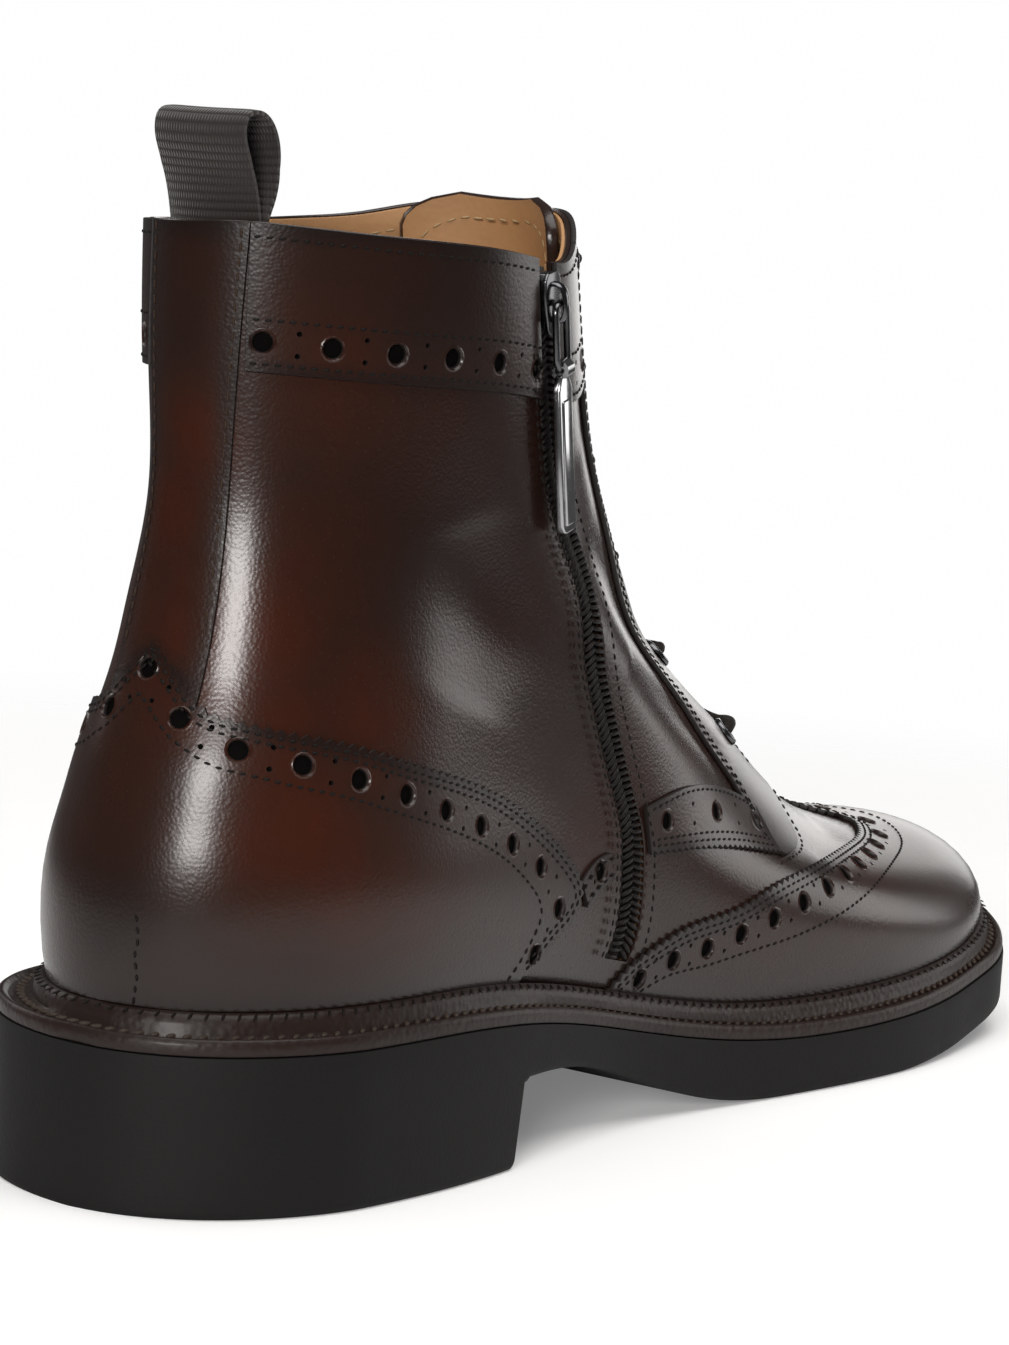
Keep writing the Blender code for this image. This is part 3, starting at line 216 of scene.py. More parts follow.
def basePoint(turn, level):  # turn 0 is the back, 0.25 the inner side, 0.5 the front
    turn, level = np.broadcast_arrays(np.asarray(turn, float) % 1.0, np.asarray(level, float))
    row = section(level)
    along = (1 - np.cos(2 * np.pi * turn)) / 2
    inner = turn < 0.5
    widths = np.where(inner[..., None], row[..., 4:8], row[..., 8:12])
    half = np.abs(np.sin(2 * np.pi * turn)) * stationWidth(widths, along)
    x = row[..., 0] + (row[..., 2] - row[..., 0]) * along
    z = bedHeight(x) + last["fitGap"] + row[..., 1] + (row[..., 3] - row[..., 1]) * along
    return np.stack([x, np.where(inner, -half, half), z], -1) - last["moved"]


def slopesAt(turn, level):  # how the surface runs for one turn and for one level
    step = 1e-4
    level = np.asarray(level, float)
    around = (basePoint(turn + step, level) - basePoint(turn - step, level)) / (2 * step)
    high = np.clip(level + step, 0, 1)
    low = np.clip(level - step, 0, 1)
    up = (basePoint(turn, high) - basePoint(turn, low)) / (high - low)[..., None]
    return around, up


def unit(vectors):
    return vectors / np.maximum(np.linalg.norm(vectors, axis=-1, keepdims=True), 1e-12)


def baseNormal(turn, level):
    around, up = slopesAt(np.asarray(turn, float), level)
    return unit(np.cross(around, up))


# Creases: depth (less than 0 is a trough) and width in metres, then (turn, level) along the fold
creases = {
    "soft fold at the ankle's bend": (-0.0011, 0.0060, ((0.330, 0.640), (0.360, 0.560), (0.400, 0.500))),
    "roll over that fold": (0.0008, 0.0080, ((0.335, 0.720), (0.370, 0.640), (0.420, 0.590))),
    "fold under the ankle": (-0.0008, 0.0050, ((0.320, 0.500), (0.345, 0.440), (0.370, 0.390))),
    "outer fold at the bend": (-0.0011, 0.0060, ((0.670, 0.640), (0.640, 0.560), (0.600, 0.500))),
    "outer roll": (0.0008, 0.0080, ((0.665, 0.720), (0.630, 0.640), (0.580, 0.590))),
    "dent behind the zip": (-0.0007, 0.0120, ((0.215, 0.640), (0.205, 0.500), (0.180, 0.400))),
    "wrinkle low on the strip": (-0.0003, 0.0016, ((0.985, 0.560), (0.000, 0.552), (0.016, 0.560))),
    "wrinkle over it": (-0.00025, 0.0014, ((0.990, 0.600), (0.006, 0.594), (0.020, 0.606))),
    "upper wrinkle": (-0.0002, 0.0014, ((0.984, 0.646), (0.000, 0.640), (0.012, 0.650))),
    "vamp crease": (-0.0005, 0.0040, ((0.345, 0.240), (0.400, 0.262), (0.440, 0.290))),
    "vamp crease outside": (-0.0005, 0.0040, ((0.655, 0.240), (0.600, 0.262), (0.560, 0.290))),
}


def swell(places):
    total = np.zeros(places.shape[:-1])
    for depth, width, line in creases.values():
        table = np.array(line)
        path = basePoint(table[:, 0], table[:, 1])
        start = path[:-1]
        run = path[1:] - start
        offset = places[..., None, :] - start
        share = np.clip((offset * run).sum(-1) / (run ** 2).sum(-1), 0, 1)
        away = np.linalg.norm(offset - share[..., None] * run, axis=-1)
        whole = (np.arange(len(run)) + share) / len(run)
        near = away.argmin(-1)[..., None]
        along = np.take_along_axis(whole, near, -1)[..., 0]
        away = np.take_along_axis(away, near, -1)[..., 0]
        fade = np.clip(4 * along * (1 - along), 0.0, 1) ** 0.5
        total += depth * fade * np.exp(-(away / width) ** 2)
    return total


def surfacePoint(turn, level, offset=0.0):
    turn = np.asarray(turn, float)
    base = basePoint(turn, level)
    return base + baseNormal(turn, level) * (np.asarray(offset) + swell(base))[..., None]


def shownNormal(turn, level):  # the normal with the creases in it
    step = 4e-4
    level = np.clip(level, step, 1 - step)
    around = surfacePoint(turn + step, level) - surfacePoint(turn - step, level)
    up = surfacePoint(turn, level + step) - surfacePoint(turn, level - step)
    return unit(np.cross(around, up))


def nudge(turn, level, along, up):  # moves by metres round the surface and up it
    around, rise = slopesAt(turn, level)
    first = unit(around)
    second = unit(np.cross(np.cross(around, rise), first))
    level1 = np.asarray(up) / (rise * second).sum(-1)
    turn1 = (np.asarray(along) - level1 * (rise * first).sum(-1)) / (around * first).sum(-1)
    return np.stack([turn + turn1, level + level1], -1)


def turnSpan(turn, level, metres):
    around, _ = slopesAt(np.asarray(turn, float), level)
    return metres / np.linalg.norm(around, axis=-1)


def levelSpan(turn, level, metres):
    _, up = slopesAt(np.asarray(turn, float), level)
    return metres / np.linalg.norm(up, axis=-1)


def collarLevel(turn):
    return collarLevelAt(np.asarray(turn, float) % 1.0)[..., 0]


def zipTurn(level, metres=0.0):  # turn of the zip's line, or of a line beside it
    middle = zipTurnAt(level)[..., 0]
    return middle + turnSpan(middle, np.asarray(level, float), metres)


def throatTurn(level, side, beyond=0.0):
    gap = throatGapAt(level)[..., 0] + beyond
    return 0.5 + side * turnSpan(0.5 + 0 * gap, np.asarray(level, float), gap)


def placesAlong(line):
    return runLengths(basePoint(line[:, 0], line[:, 1]))


def alongLine(points, spacing=None, count=None, smooth=True):
    table = np.array(points, float)
    reach = placesAlong(table)
    if smooth:
        curve = smoothLine(np.c_[reach, table])
    else:
        def curve(x):
            return np.c_[np.interp(x, reach, table[:, 0]), np.interp(x, reach, table[:, 1])]
    count = count or max(2, int(round(reach[-1] / spacing)) + 1)
    return curve(np.linspace(0, reach[-1], count))


def shiftLine(line, metres):  # to the left of the line, seen from outside
    line = np.array(line, float)
    around, rise = slopesAt(line[:, 0], line[:, 1])
    places = basePoint(line[:, 0], line[:, 1])
    heading = unit(np.gradient(places, axis=0))
    normal = unit(np.cross(around, rise))
    side = unit(np.cross(normal, heading))
    first = unit(around)
    second = unit(np.cross(normal, first))
    return nudge(line[:, 0], line[:, 1], metres * (side * first).sum(-1), metres * (side * second).sum(-1))


def mirrorLine(line):  # to the outer side, run the other way
    return (np.array(line) * (-1, 1) + (1, 0))[::-1]


def insideRow(line, depth):  # a row on the hidden side: its places and the directions they face
    return surfacePoint(line[:, 0], line[:, 1], -depth), -shownNormal(line[:, 0], line[:, 1])


def gridRings(columns, rows):  # the faces of a grid of points, column after column
    return [
        (i * rows + j, (i + 1) * rows + j, (i + 1) * rows + j + 1, i * rows + j + 1)
        for i in range(columns - 1) for j in range(rows - 1)
    ]


def nearest(points, others):  # how far each point is from the nearest of the others
    away = np.full(len(points), 1.0)
    for start in range(0, len(others), 200):
        part = others[start: start + 200]
        away = np.minimum(away, np.linalg.norm(points[:, None] - part[None], axis=-1).min(axis=1))
    return away


# Shader groups
class Nodes:  # short calls for building a node tree

    def __init__(self, tree):
        self.tree = tree

    def add(self, kind, settings=None, **inputs):
        node = self.tree.nodes.new(kind)
        for name, value in (settings or {}).items():
            setattr(node, name, value)
        for name, value in inputs.items():
            self.put(node, name.replace("_", " "), value)
        return node

    def put(self, node, name, value):
        socket = node.inputs[int(name)] if name.isdigit() else node.inputs[name]
        if isinstance(value, bpy.types.NodeSocket):
            self.tree.links.new(value, socket)
        else:
            socket.default_value = value

    def link(self, start, node, name):
        self.tree.links.new(start, node.inputs[name])

    def math(self, operation, a, b=0.0, c=0.0):
        node = self.add("ShaderNodeMath", {"operation": operation})
        for k, value in enumerate((a, b, c)):
            self.put(node, str(k), value)
        return node.outputs[0]

    def mix(self, share, first, second):
        node = self.add("ShaderNodeMix", {"data_type": "RGBA"})
        for name, value in (("0", share), ("6", first), ("7", second)):
            self.put(node, name, value)
        return node.outputs[2]

    def ramp(self, value, *stops):
        node = self.tree.nodes.new("ShaderNodeValToRGB")
        while len(node.color_ramp.elements) < len(stops):
            node.color_ramp.elements.new(0.5)
        for element, (place, grey) in zip(node.color_ramp.elements, stops):
            element.position = place
            element.color = (grey, grey, grey, 1)
        self.tree.links.new(value, node.inputs[0])
        return node.outputs[0]


def newGroup(name, inputs, outputs):
    tree = bpy.data.node_groups.new(name, "ShaderNodeTree")
    for socketName, kind, value in inputs:
        socket = tree.interface.new_socket(socketName, in_out="INPUT", socket_type="NodeSocket" + kind)
        if value is not None:
            socket.default_value = value
    for socketName, kind in outputs:
        tree.interface.new_socket(socketName, in_out="OUTPUT", socket_type="NodeSocket" + kind)
    nodes = Nodes(tree)
    return nodes, nodes.add("NodeGroupInput").outputs, nodes.add("NodeGroupOutput")


def grainGroup():  # pebbled grain with pores; Height is for a bump, Pores a mask
    nodes, given, out = newGroup(
        "leather grain", [("Scale", "Float", 900.0), ("Wrinkles", "Float", 0.3)],
        [("Height", "Float"), ("Pores", "Float")],
    )
    place = nodes.add("ShaderNodeTexCoord").outputs["Object"]
    bend = nodes.add("ShaderNodeTexNoise", Vector=place, Scale=120.0, Detail=2.0)
    shifted = nodes.add("ShaderNodeVectorMath", {"operation": "MULTIPLY_ADD"})
    nodes.link(bend.outputs["Color"], shifted, 0)
    shifted.inputs[1].default_value = (0.0012, 0.0012, 0.0012)
    nodes.link(place, shifted, 2)
    cells = nodes.add(
        "ShaderNodeTexVoronoi", {"feature": "SMOOTH_F1"}, Vector=shifted.outputs[0],
        Scale=given["Scale"], Smoothness=0.6,
    )
    soft = nodes.add("ShaderNodeTexNoise", Vector=place, Scale=700.0, Detail=3.0, Roughness=0.55)
    pebble = nodes.math("MULTIPLY", cells.outputs["Distance"], -1.0)
    wrinkled = nodes.math("MULTIPLY", soft.outputs[0], given["Wrinkles"])
    nodes.link(nodes.math("ADD", pebble, wrinkled), out, "Height")
    pores = nodes.add("ShaderNodeTexVoronoi", Vector=shifted.outputs[0], Scale=620.0)
    nodes.link(nodes.ramp(pores.outputs["Distance"], (0.0, 1.0), (0.16, 0.0)), out, "Pores")
    return nodes.tree


def patinaGroup():  # hand-rubbed colour: brown and red-brown clouds, made near black where Dark paints shade and darkens cut edges
    nodes, given, out = newGroup(
        "hand rubbed colour",
        [("Warm", "Float", 0.0), ("Dark", "Float", 0.0), ("Deep", "Color", (0.010, 0.006, 0.005, 1)),
         ("Brown", "Color", (0.019, 0.0090, 0.0062, 1)), ("Red", "Color", (0.050, 0.0100, 0.0032, 1))],
        [("Color", "Color"), ("Cloud", "Float")],
    )
    place = nodes.add("ShaderNodeTexCoord").outputs["Object"]
    cloud = nodes.add("ShaderNodeTexNoise", Vector=place, Scale=26.0, Detail=5.0, Roughness=0.62)
    streaked = nodes.add("ShaderNodeMapping", Vector=place, Scale=(1.0, 1.0, 0.35))
    streak = nodes.add("ShaderNodeTexNoise", Vector=streaked.outputs[0], Scale=170.0, Detail=3.0)
    clouds = nodes.ramp(cloud.outputs[0], (0.34, 0.0), (0.68, 1.0))
    warmth = nodes.math("MULTIPLY", clouds, 0.22)
    uneven = nodes.ramp(cloud.outputs[0], (0.2, 0.55), (0.7, 1.0))
    warmth = nodes.math("MULTIPLY_ADD", given["Warm"], uneven, warmth)
    fine = nodes.math("MULTIPLY_ADD", streak.outputs[0], 0.20, -0.10)
    warmth = nodes.math("MINIMUM", nodes.math("ADD", warmth, fine), 1.0)
    colour = nodes.mix(nodes.math("MAXIMUM", warmth, 0.0), given["Brown"], given["Red"])
    # Dark mixes towards the near-black Deep colour: painted shade in creases and at the welt, and darkened cut
    # edges
    colour = nodes.mix(given["Dark"], colour, given["Deep"])
    nodes.link(colour, out, "Color")
    nodes.link(clouds, out, "Cloud")
    return nodes.tree


def weaveGroup():  # ribs along the UV map's V, with threads over and under along U
    nodes, given, out = newGroup(
        "ribbed weave", [("Ribs", "Float", 60.0), ("Threads", "Float", 60.0)],
        [("Height", "Float"), ("Valley", "Float")],
    )
    place = nodes.add("ShaderNodeUVMap").outputs[0]
    parts = nodes.add("ShaderNodeSeparateXYZ", Vector=place).outputs
    ribs = nodes.math("MULTIPLY", parts["X"], given["Ribs"])
    threads = nodes.math("MULTIPLY", parts["Y"], given["Threads"])
    odd = nodes.math("MODULO", nodes.math("FLOOR", ribs), 2.0)
    phase = nodes.math("MULTIPLY_ADD", odd, 0.5, threads)
    wave = nodes.math("SINE", nodes.math("MULTIPLY", phase, math.tau))
    roundness = nodes.math("ABSOLUTE", nodes.math("SINE", nodes.math("MULTIPLY", ribs, math.pi)))
    height = nodes.math("MULTIPLY", roundness, nodes.math("MULTIPLY_ADD", wave, 0.25, 0.75))
    nodes.link(height, out, "Height")
    # Valley: the low parts of the weave, used to paint shade into them
    nodes.link(nodes.math("SUBTRACT", 1.0, height), out, "Valley")
    return nodes.tree


grain = grainGroup()
patina = patinaGroup()
weave = weaveGroup()


def newMaterial(name):
    material = bpy.data.materials.new(name)
    material.use_nodes = True
    nodes = Nodes(material.node_tree)
    return material, nodes, material.node_tree.nodes["Principled BSDF"]


def useGroup(nodes, tree, **inputs):
    node = nodes.tree.nodes.new("ShaderNodeGroup")
    node.node_tree = tree
    for name, value in inputs.items():
        nodes.put(node, name, value)
    return node.outputs


def bumped(nodes, height, distance):
    return nodes.add("ShaderNodeBump", Height=height, Distance=distance, Strength=1.0).outputs[0]


def attribute(nodes, name):
    return nodes.add("ShaderNodeAttribute", {"attribute_name": name}).outputs["Fac"]


def glossyLeather(name, scale=1500.0, depth=0.000035, roughness=0.28, coat=0.25):
    material, nodes, shader = newMaterial(name)
    warm = attribute(nodes, "warm")
    # rim holds darkened cut edges, painted shade in creases and by the welt, and the welt's darker tone
    rim = attribute(nodes, "rim")
    pebbled = useGroup(nodes, grain, Scale=scale, Wrinkles=0.25)
    rubbed = useGroup(nodes, patina, Warm=warm, Dark=rim)
    pored = nodes.math("MULTIPLY", pebbled["Pores"], 0.35)
    colour = nodes.mix(pored, rubbed["Color"], (0.008, 0.005, 0.004, 1))
    nodes.link(colour, shader, "Base Color")
    rough = nodes.math("MULTIPLY_ADD", rubbed["Cloud"], -0.05, roughness)
    nodes.link(nodes.math("MULTIPLY_ADD", pebbled["Pores"], 0.15, rough), shader, "Roughness")
    nodes.link(bumped(nodes, pebbled["Height"], depth), shader, "Normal")
    shader.inputs["Coat Weight"].default_value = coat
    shader.inputs["Coat Roughness"].default_value = 0.20
    shader.inputs["Specular IOR Level"].default_value = 0.30
    return material


def matteLeather(name, colour, roughness, specular=0.5):
    material, nodes, shader = newMaterial(name)
    pebbled = useGroup(nodes, grain, Scale=700.0, Wrinkles=0.8)
    place = nodes.add("ShaderNodeTexCoord").outputs["Object"]
    cloud = nodes.add("ShaderNodeTexNoise", Vector=place, Scale=45.0, Detail=4.0)
    dark = tuple(0.6 * c for c in colour[:3]) + (1,)
    share = nodes.math("MULTIPLY", cloud.outputs[0], 0.5)
    base = nodes.mix(share, colour, dark)
    base = nodes.mix(nodes.math("MULTIPLY", pebbled["Pores"], 0.1), base, dark)
    nodes.link(base, shader, "Base Color")
    nodes.link(nodes.math("MULTIPLY_ADD", cloud.outputs[0], 0.2, roughness - 0.1), shader, "Roughness")
    nodes.link(bumped(nodes, pebbled["Height"], 0.00005), shader, "Normal")
    shader.inputs["Specular IOR Level"].default_value = specular
    return material


def rubberMaterial():
    material, nodes, shader = newMaterial("moulded rubber")
    place = nodes.add("ShaderNodeTexCoord").outputs["Object"]
    fine = nodes.add("ShaderNodeTexNoise", Vector=place, Scale=1500.0, Detail=3.0)
    broad = nodes.add("ShaderNodeTexNoise", Vector=place, Scale=60.0, Detail=4.0, Roughness=0.7)
    colour = nodes.mix(broad.outputs[0], (0.0045, 0.0043, 0.0042, 1), (0.0085, 0.0080, 0.0076, 1))
    nodes.link(colour, shader, "Base Color")
    nodes.link(nodes.math("MULTIPLY_ADD", broad.outputs[0], 0.14, 0.58), shader, "Roughness")
    nodes.link(bumped(nodes, fine.outputs[0], 0.00008), shader, "Normal")
    shader.inputs["Specular IOR Level"].default_value = 0.22
    return material


def threadMaterial(name, colour, roughness=0.55):
    material, nodes, shader = newMaterial(name)
    place = nodes.add("ShaderNodeTexCoord").outputs["Object"]
    fine = nodes.add("ShaderNodeTexNoise", Vector=place, Scale=2600.0, Detail=2.0)
    broad = nodes.add("ShaderNodeTexNoise", Vector=place, Scale=70.0, Detail=2.0)
    dark = tuple(0.45 * c for c in colour[:3]) + (1,)
    share = nodes.math("MULTIPLY_ADD", fine.outputs[0], 0.6, nodes.math("MULTIPLY", broad.outputs[0], 0.3))
    nodes.link(nodes.mix(share, colour, dark), shader, "Base Color")
    nodes.link(nodes.math("MULTIPLY_ADD", broad.outputs[0], 0.1, roughness), shader, "Roughness")
    nodes.link(bumped(nodes, fine.outputs[0], 0.0001), shader, "Normal")
    shader.inputs["Specular IOR Level"].default_value = 0.2
    return material


def clothMaterial(name, colour, ribs, threads, depth, roughness=0.75):
    material, nodes, shader = newMaterial(name)
    woven = useGroup(nodes, weave, Ribs=ribs, Threads=threads)
    place = nodes.add("ShaderNodeTexCoord").outputs["Object"]
    fuzz = nodes.add("ShaderNodeTexNoise", Vector=place, Scale=900.0, Detail=3.0)
    dark = tuple(0.25 * c for c in colour[:3]) + (1,)
    # the weave's valleys darken towards a quarter of the colour: painted shade
    base = nodes.mix(nodes.math("MULTIPLY", woven["Valley"], 0.9), colour, dark)
    light = tuple(min(1, 1.6 * c) for c in colour[:3]) + (1,)
    base = nodes.mix(nodes.math("MULTIPLY", fuzz.outputs[0], 0.35), base, light)
    nodes.link(base, shader, "Base Color")
    nodes.link(nodes.math("MULTIPLY_ADD", fuzz.outputs[0], 0.2, roughness - 0.1), shader, "Roughness")
    nodes.link(bumped(nodes, woven["Height"], depth), shader, "Normal")
    shader.inputs["Sheen Weight"].default_value = 0.25
    shader.inputs["Sheen Roughness"].default_value = 0.5
    return material


def metalMaterial(name, colour, roughness):
    material, nodes, shader = newMaterial(name)
    place = nodes.add("ShaderNodeTexCoord").outputs["Object"]
    wear = nodes.add("ShaderNodeTexNoise", Vector=place, Scale=300.0, Detail=4.0)
    bright = tuple(min(1, 1.5 * c) for c in colour[:3]) + (1,)
    nodes.link(nodes.mix(wear.outputs[0], colour, bright), shader, "Base Color")
    nodes.link(nodes.math("MULTIPLY_ADD", wear.outputs[0], 0.12, roughness), shader, "Roughness")
    nodes.link(bumped(nodes, wear.outputs[0], 0.00002), shader, "Normal")
    shader.inputs["Metallic"].default_value = 1.0
    return material


upperLeather = glossyLeather("polished brown leather")
panelLeather = glossyLeather("burnished panel leather", roughness=0.31)
weltLeather = glossyLeather("waxed welt leather", scale=700.0, depth=0.00014, roughness=0.50, coat=0.08)
cutEdge = matteLeather("inked cut edge", (0.010, 0.006, 0.005, 1), 0.55)
# holeShadow: near-black, barely glossy discs set in the punched holes, painted shade
holeShadow = matteLeather("painted shade inside a punched hole", (0.0025, 0.0020, 0.0018, 1), 0.8, 0.06)
tanLining = matteLeather("tan calf lining", (0.52, 0.275, 0.120, 1), 0.55)
rubber = rubberMaterial()
seamThread = threadMaterial("dark brown seam thread", (0.006, 0.004, 0.003, 1))
stripThread = threadMaterial("brown thread", (0.050, 0.028, 0.018, 1))
weltThread = threadMaterial("waxed welt thread", (0.060, 0.042, 0.032, 1), 0.45)
liningThread = threadMaterial("cream thread", (0.55, 0.38, 0.20, 1))
laceCord = threadMaterial("waxed lace cord", (0.014, 0.010, 0.008, 1), 0.6)
loopWebbing = clothMaterial("ribbed webbing", (0.020, 0.013, 0.011, 1), 30.0, 90.0, 0.00030)
zipWeave = clothMaterial("woven zip tape", (0.016, 0.011, 0.009, 1), 34.0, 300.0, 0.00016)
zipCoil = threadMaterial("nylon coil", (0.012, 0.009, 0.008, 1), 0.35)
gunmetal = metalMaterial("dark gunmetal", (0.10, 0.10, 0.105, 1), 0.16)
brightMetal = metalMaterial("polished gunmetal", (0.38, 0.38, 0.39, 1), 0.10)
print("materials ready")


# Mesh making
# The wall between two skins that share their faces, its edge rounded by bulge metres
def closeSkins(outside, inside, rings, bulge=0.0):
    size = len(outside)
    faces = [tuple(ring) for ring in rings]
    topCount = len(faces)
    edges = {}
    for ring in rings:
        faces.append(tuple(size + k for k in reversed(ring)))
        for start, end in zip(ring, (*ring[1:], ring[0])):
            edges[start, end] = ring
    points = [outside, inside]
    openEdges = [(start, end) for start, end in edges if (end, start) not in edges]
    if bulge:
        push = np.zeros_like(outside)
        for start, end in openEdges:
            heading = outside[end] - outside[start]
            depth = outside[start] - inside[start]
            away = unit(np.cross(heading, depth))
            push[start] += away
            push[end] += away
        push = unit(push) * bulge
        points.append(outside * 0.8 + inside * 0.2 + push * 0.75)
        points.append(outside * 0.2 + inside * 0.8 + push * 0.75)
        for start, end in openEdges:
            bands = (0, 2 * size, 3 * size, size)
            for upper, lower in zip(bands, bands[1:]):
                faces.append((end + upper, start + upper, start + lower, end + lower))
    else:
        for start, end in openEdges:
            faces.append((end, start, size + start, size + end))
    return np.concatenate(points), faces, topCount


def makeMesh(name, vertices, faces, material, angle=40.0):
    mesh = bpy.data.meshes.new(name)
    used = np.unique(np.concatenate([np.asarray(face) for face in faces]))
    renumber = np.full(len(vertices), -1)
    renumber[used] = np.arange(len(used))
    mesh.from_pydata(
        np.asarray(vertices)[used].tolist(), [], [renumber[list(face)].tolist() for face in faces]
    )
    mesh.materials.append(material)
    mesh.shade_smooth()
    mesh.set_sharp_from_angle(angle=math.radians(angle))
    piece = bpy.data.objects.new(name, mesh)
    bpy.context.scene.collection.objects.link(piece)
    return piece, used


def addValues(piece, name, values):
    layer = piece.data.attributes.new(name, "FLOAT", "POINT")
    layer.data.foreach_set("value", np.asarray(values, np.float32))


def outwards(piece):
    shape = bmesh.new()
    shape.from_mesh(piece.data)
    bmesh.ops.remove_doubles(shape, verts=shape.verts, dist=1e-6)
    bmesh.ops.recalc_face_normals(shape, faces=shape.faces)
    if shape.calc_volume(signed=True) < 0:
        bmesh.ops.reverse_faces(shape, faces=shape.faces)
    shape.to_mesh(piece.data)
    shape.free()


def place(piece, slot, *nodes, body="boot"):
    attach(piece, body)
    if nodes:
        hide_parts(*nodes)
    return piece


# Warm red-brown clouds, and dark patches of painted shade over creases and near the welt, placed by (turn,
# level): reach in metres, strength
warmSpots = (
    (0.056, 0.50, 0.016, 0.9), (0.045, 0.41, 0.010, 0.9), (0.095, 0.60, 0.020, 0.35),
    (0.118, 0.80, 0.016, 0.75), (0.127, 0.385, 0.014, 0.9), (0.074, 0.36, 0.014, 0.7),
    (0.081, 0.217, 0.014, 0.9), (0.097, 0.157, 0.016, 0.7), (0.125, 0.134, 0.018, 0.4),
    (0.215, 0.183, 0.010, 0.35), (0.02, 0.75, 0.010, 0.8), (0.178, 0.754, 0.016, 0.35),
    (0.98, 0.66, 0.012, 0.6), (0.93, 0.50, 0.018, 0.7), (0.88, 0.78, 0.018, 0.7),
    (0.87, 0.38, 0.016, 0.8), (0.91, 0.20, 0.018, 0.8), (0.76, 0.60, 0.02, 0.4), (0.72, 0.30, 0.016, 0.5),
    (0.64, 0.20, 0.016, 0.4), (0.50, 0.22, 0.016, 0.3), (0.36, 0.20, 0.014, 0.25),
    (0.34, 0.40, 0.012, 0.25),
)
paintedShadeSpots = (
    (0.20, 0.62, 0.030, 0.45), (0.197, 0.89, 0.020, 0.5), (0.006, 0.10, 0.012, 0.7),
    (0.25, 0.46, 0.022, 0.4), (0.087, 0.07, 0.012, 0.5), (0.16, 0.08, 0.012, 0.4),
    (0.80, 0.62, 0.030, 0.4), (0.75, 0.08, 0.014, 0.4), (0.50, 0.10, 0.020, 0.5),
    (0.42, 0.08, 0.014, 0.4), (0.58, 0.08, 0.014, 0.4), (0.38, 0.56, 0.012, 0.4),
)


def spots(places, table):
    total = np.zeros(len(places))
    for turn, level, reach, strength in table:
        away = np.linalg.norm(places - basePoint(turn, level), axis=-1)
        total = np.maximum(total, strength * np.exp(-(away / reach) ** 2))
    return total


def paint(piece, spotsUV, copies, used, rim=None):
    places = basePoint(spotsUV[:, 0], spotsUV[:, 1])
    warm = np.tile(spots(places, warmSpots), copies)[used]
    # painted shade: dark patches over creases and near the welt, then a dark band low on the upper where it
    # meets the welt
    dark = spots(places, paintedShadeSpots)
    dark = np.maximum(dark, 0.55 * np.exp(-(np.clip(spotsUV[:, 1] - 0.05, 0, 1) / 0.035) ** 2))
    if rim is not None:
        dark = np.maximum(dark, 0.85 * np.exp(-(rim / 0.0022) ** 2))
    addValues(piece, "warm", warm)
    # the rim attribute carries this painted shade together with the darkened cut edges of the overlays
    addValues(piece, "rim", np.tile(dark, copies)[used])


# The outer skin takes the surface's own smooth normals, apart from the rims raised round holes
def setNormals(piece, spotsUV, used, faceCount, size, raised):
    mesh = piece.data
    own = np.zeros(len(mesh.loops) * 3, np.float32)
    mesh.corner_normals.foreach_get("vector", own)
    normals = own.reshape(-1, 3).astype(float)
    starts = np.zeros(len(mesh.loops), int)
    mesh.loops.foreach_get("vertex_index", starts)
    exact = shownNormal(spotsUV[:, 0], spotsUV[:, 1])
    for polygon in mesh.polygons[:faceCount]:
        corners = [used[starts[k]] % size for k in polygon.loop_indices]
        if raised[corners].any():
            continue
        for k, corner in zip(polygon.loop_indices, corners):
            normals[k] = exact[corner]
    mesh.normals_split_custom_set(normals.tolist())


def inPolygon(points, loop):
    inside = np.zeros(len(points), bool)
    following = np.roll(loop, -1, axis=0)
    for a, b in zip(loop, following):
        crosses = (a[1] > points[:, 1]) != (b[1] > points[:, 1])
        if crosses.any():
            x = a[0] + (points[:, 1] - a[1]) / (b[1] - a[1] + 1e-15) * (b[0] - a[0])
            inside ^= crosses & (points[:, 0] < x)
    return inside


holeSizes = {
    "rimmedFrom": 0.001, "rimmedSides": 14, "plainSides": 7, "crest": 0.0003, "rimFoot": 0.00065,
    "edgeLift": -0.00012, "crestLift": 0.00020, "bottomHigh": 0.00025, "bottomLow": 0.00005,
    "bottomSides": 10,
}


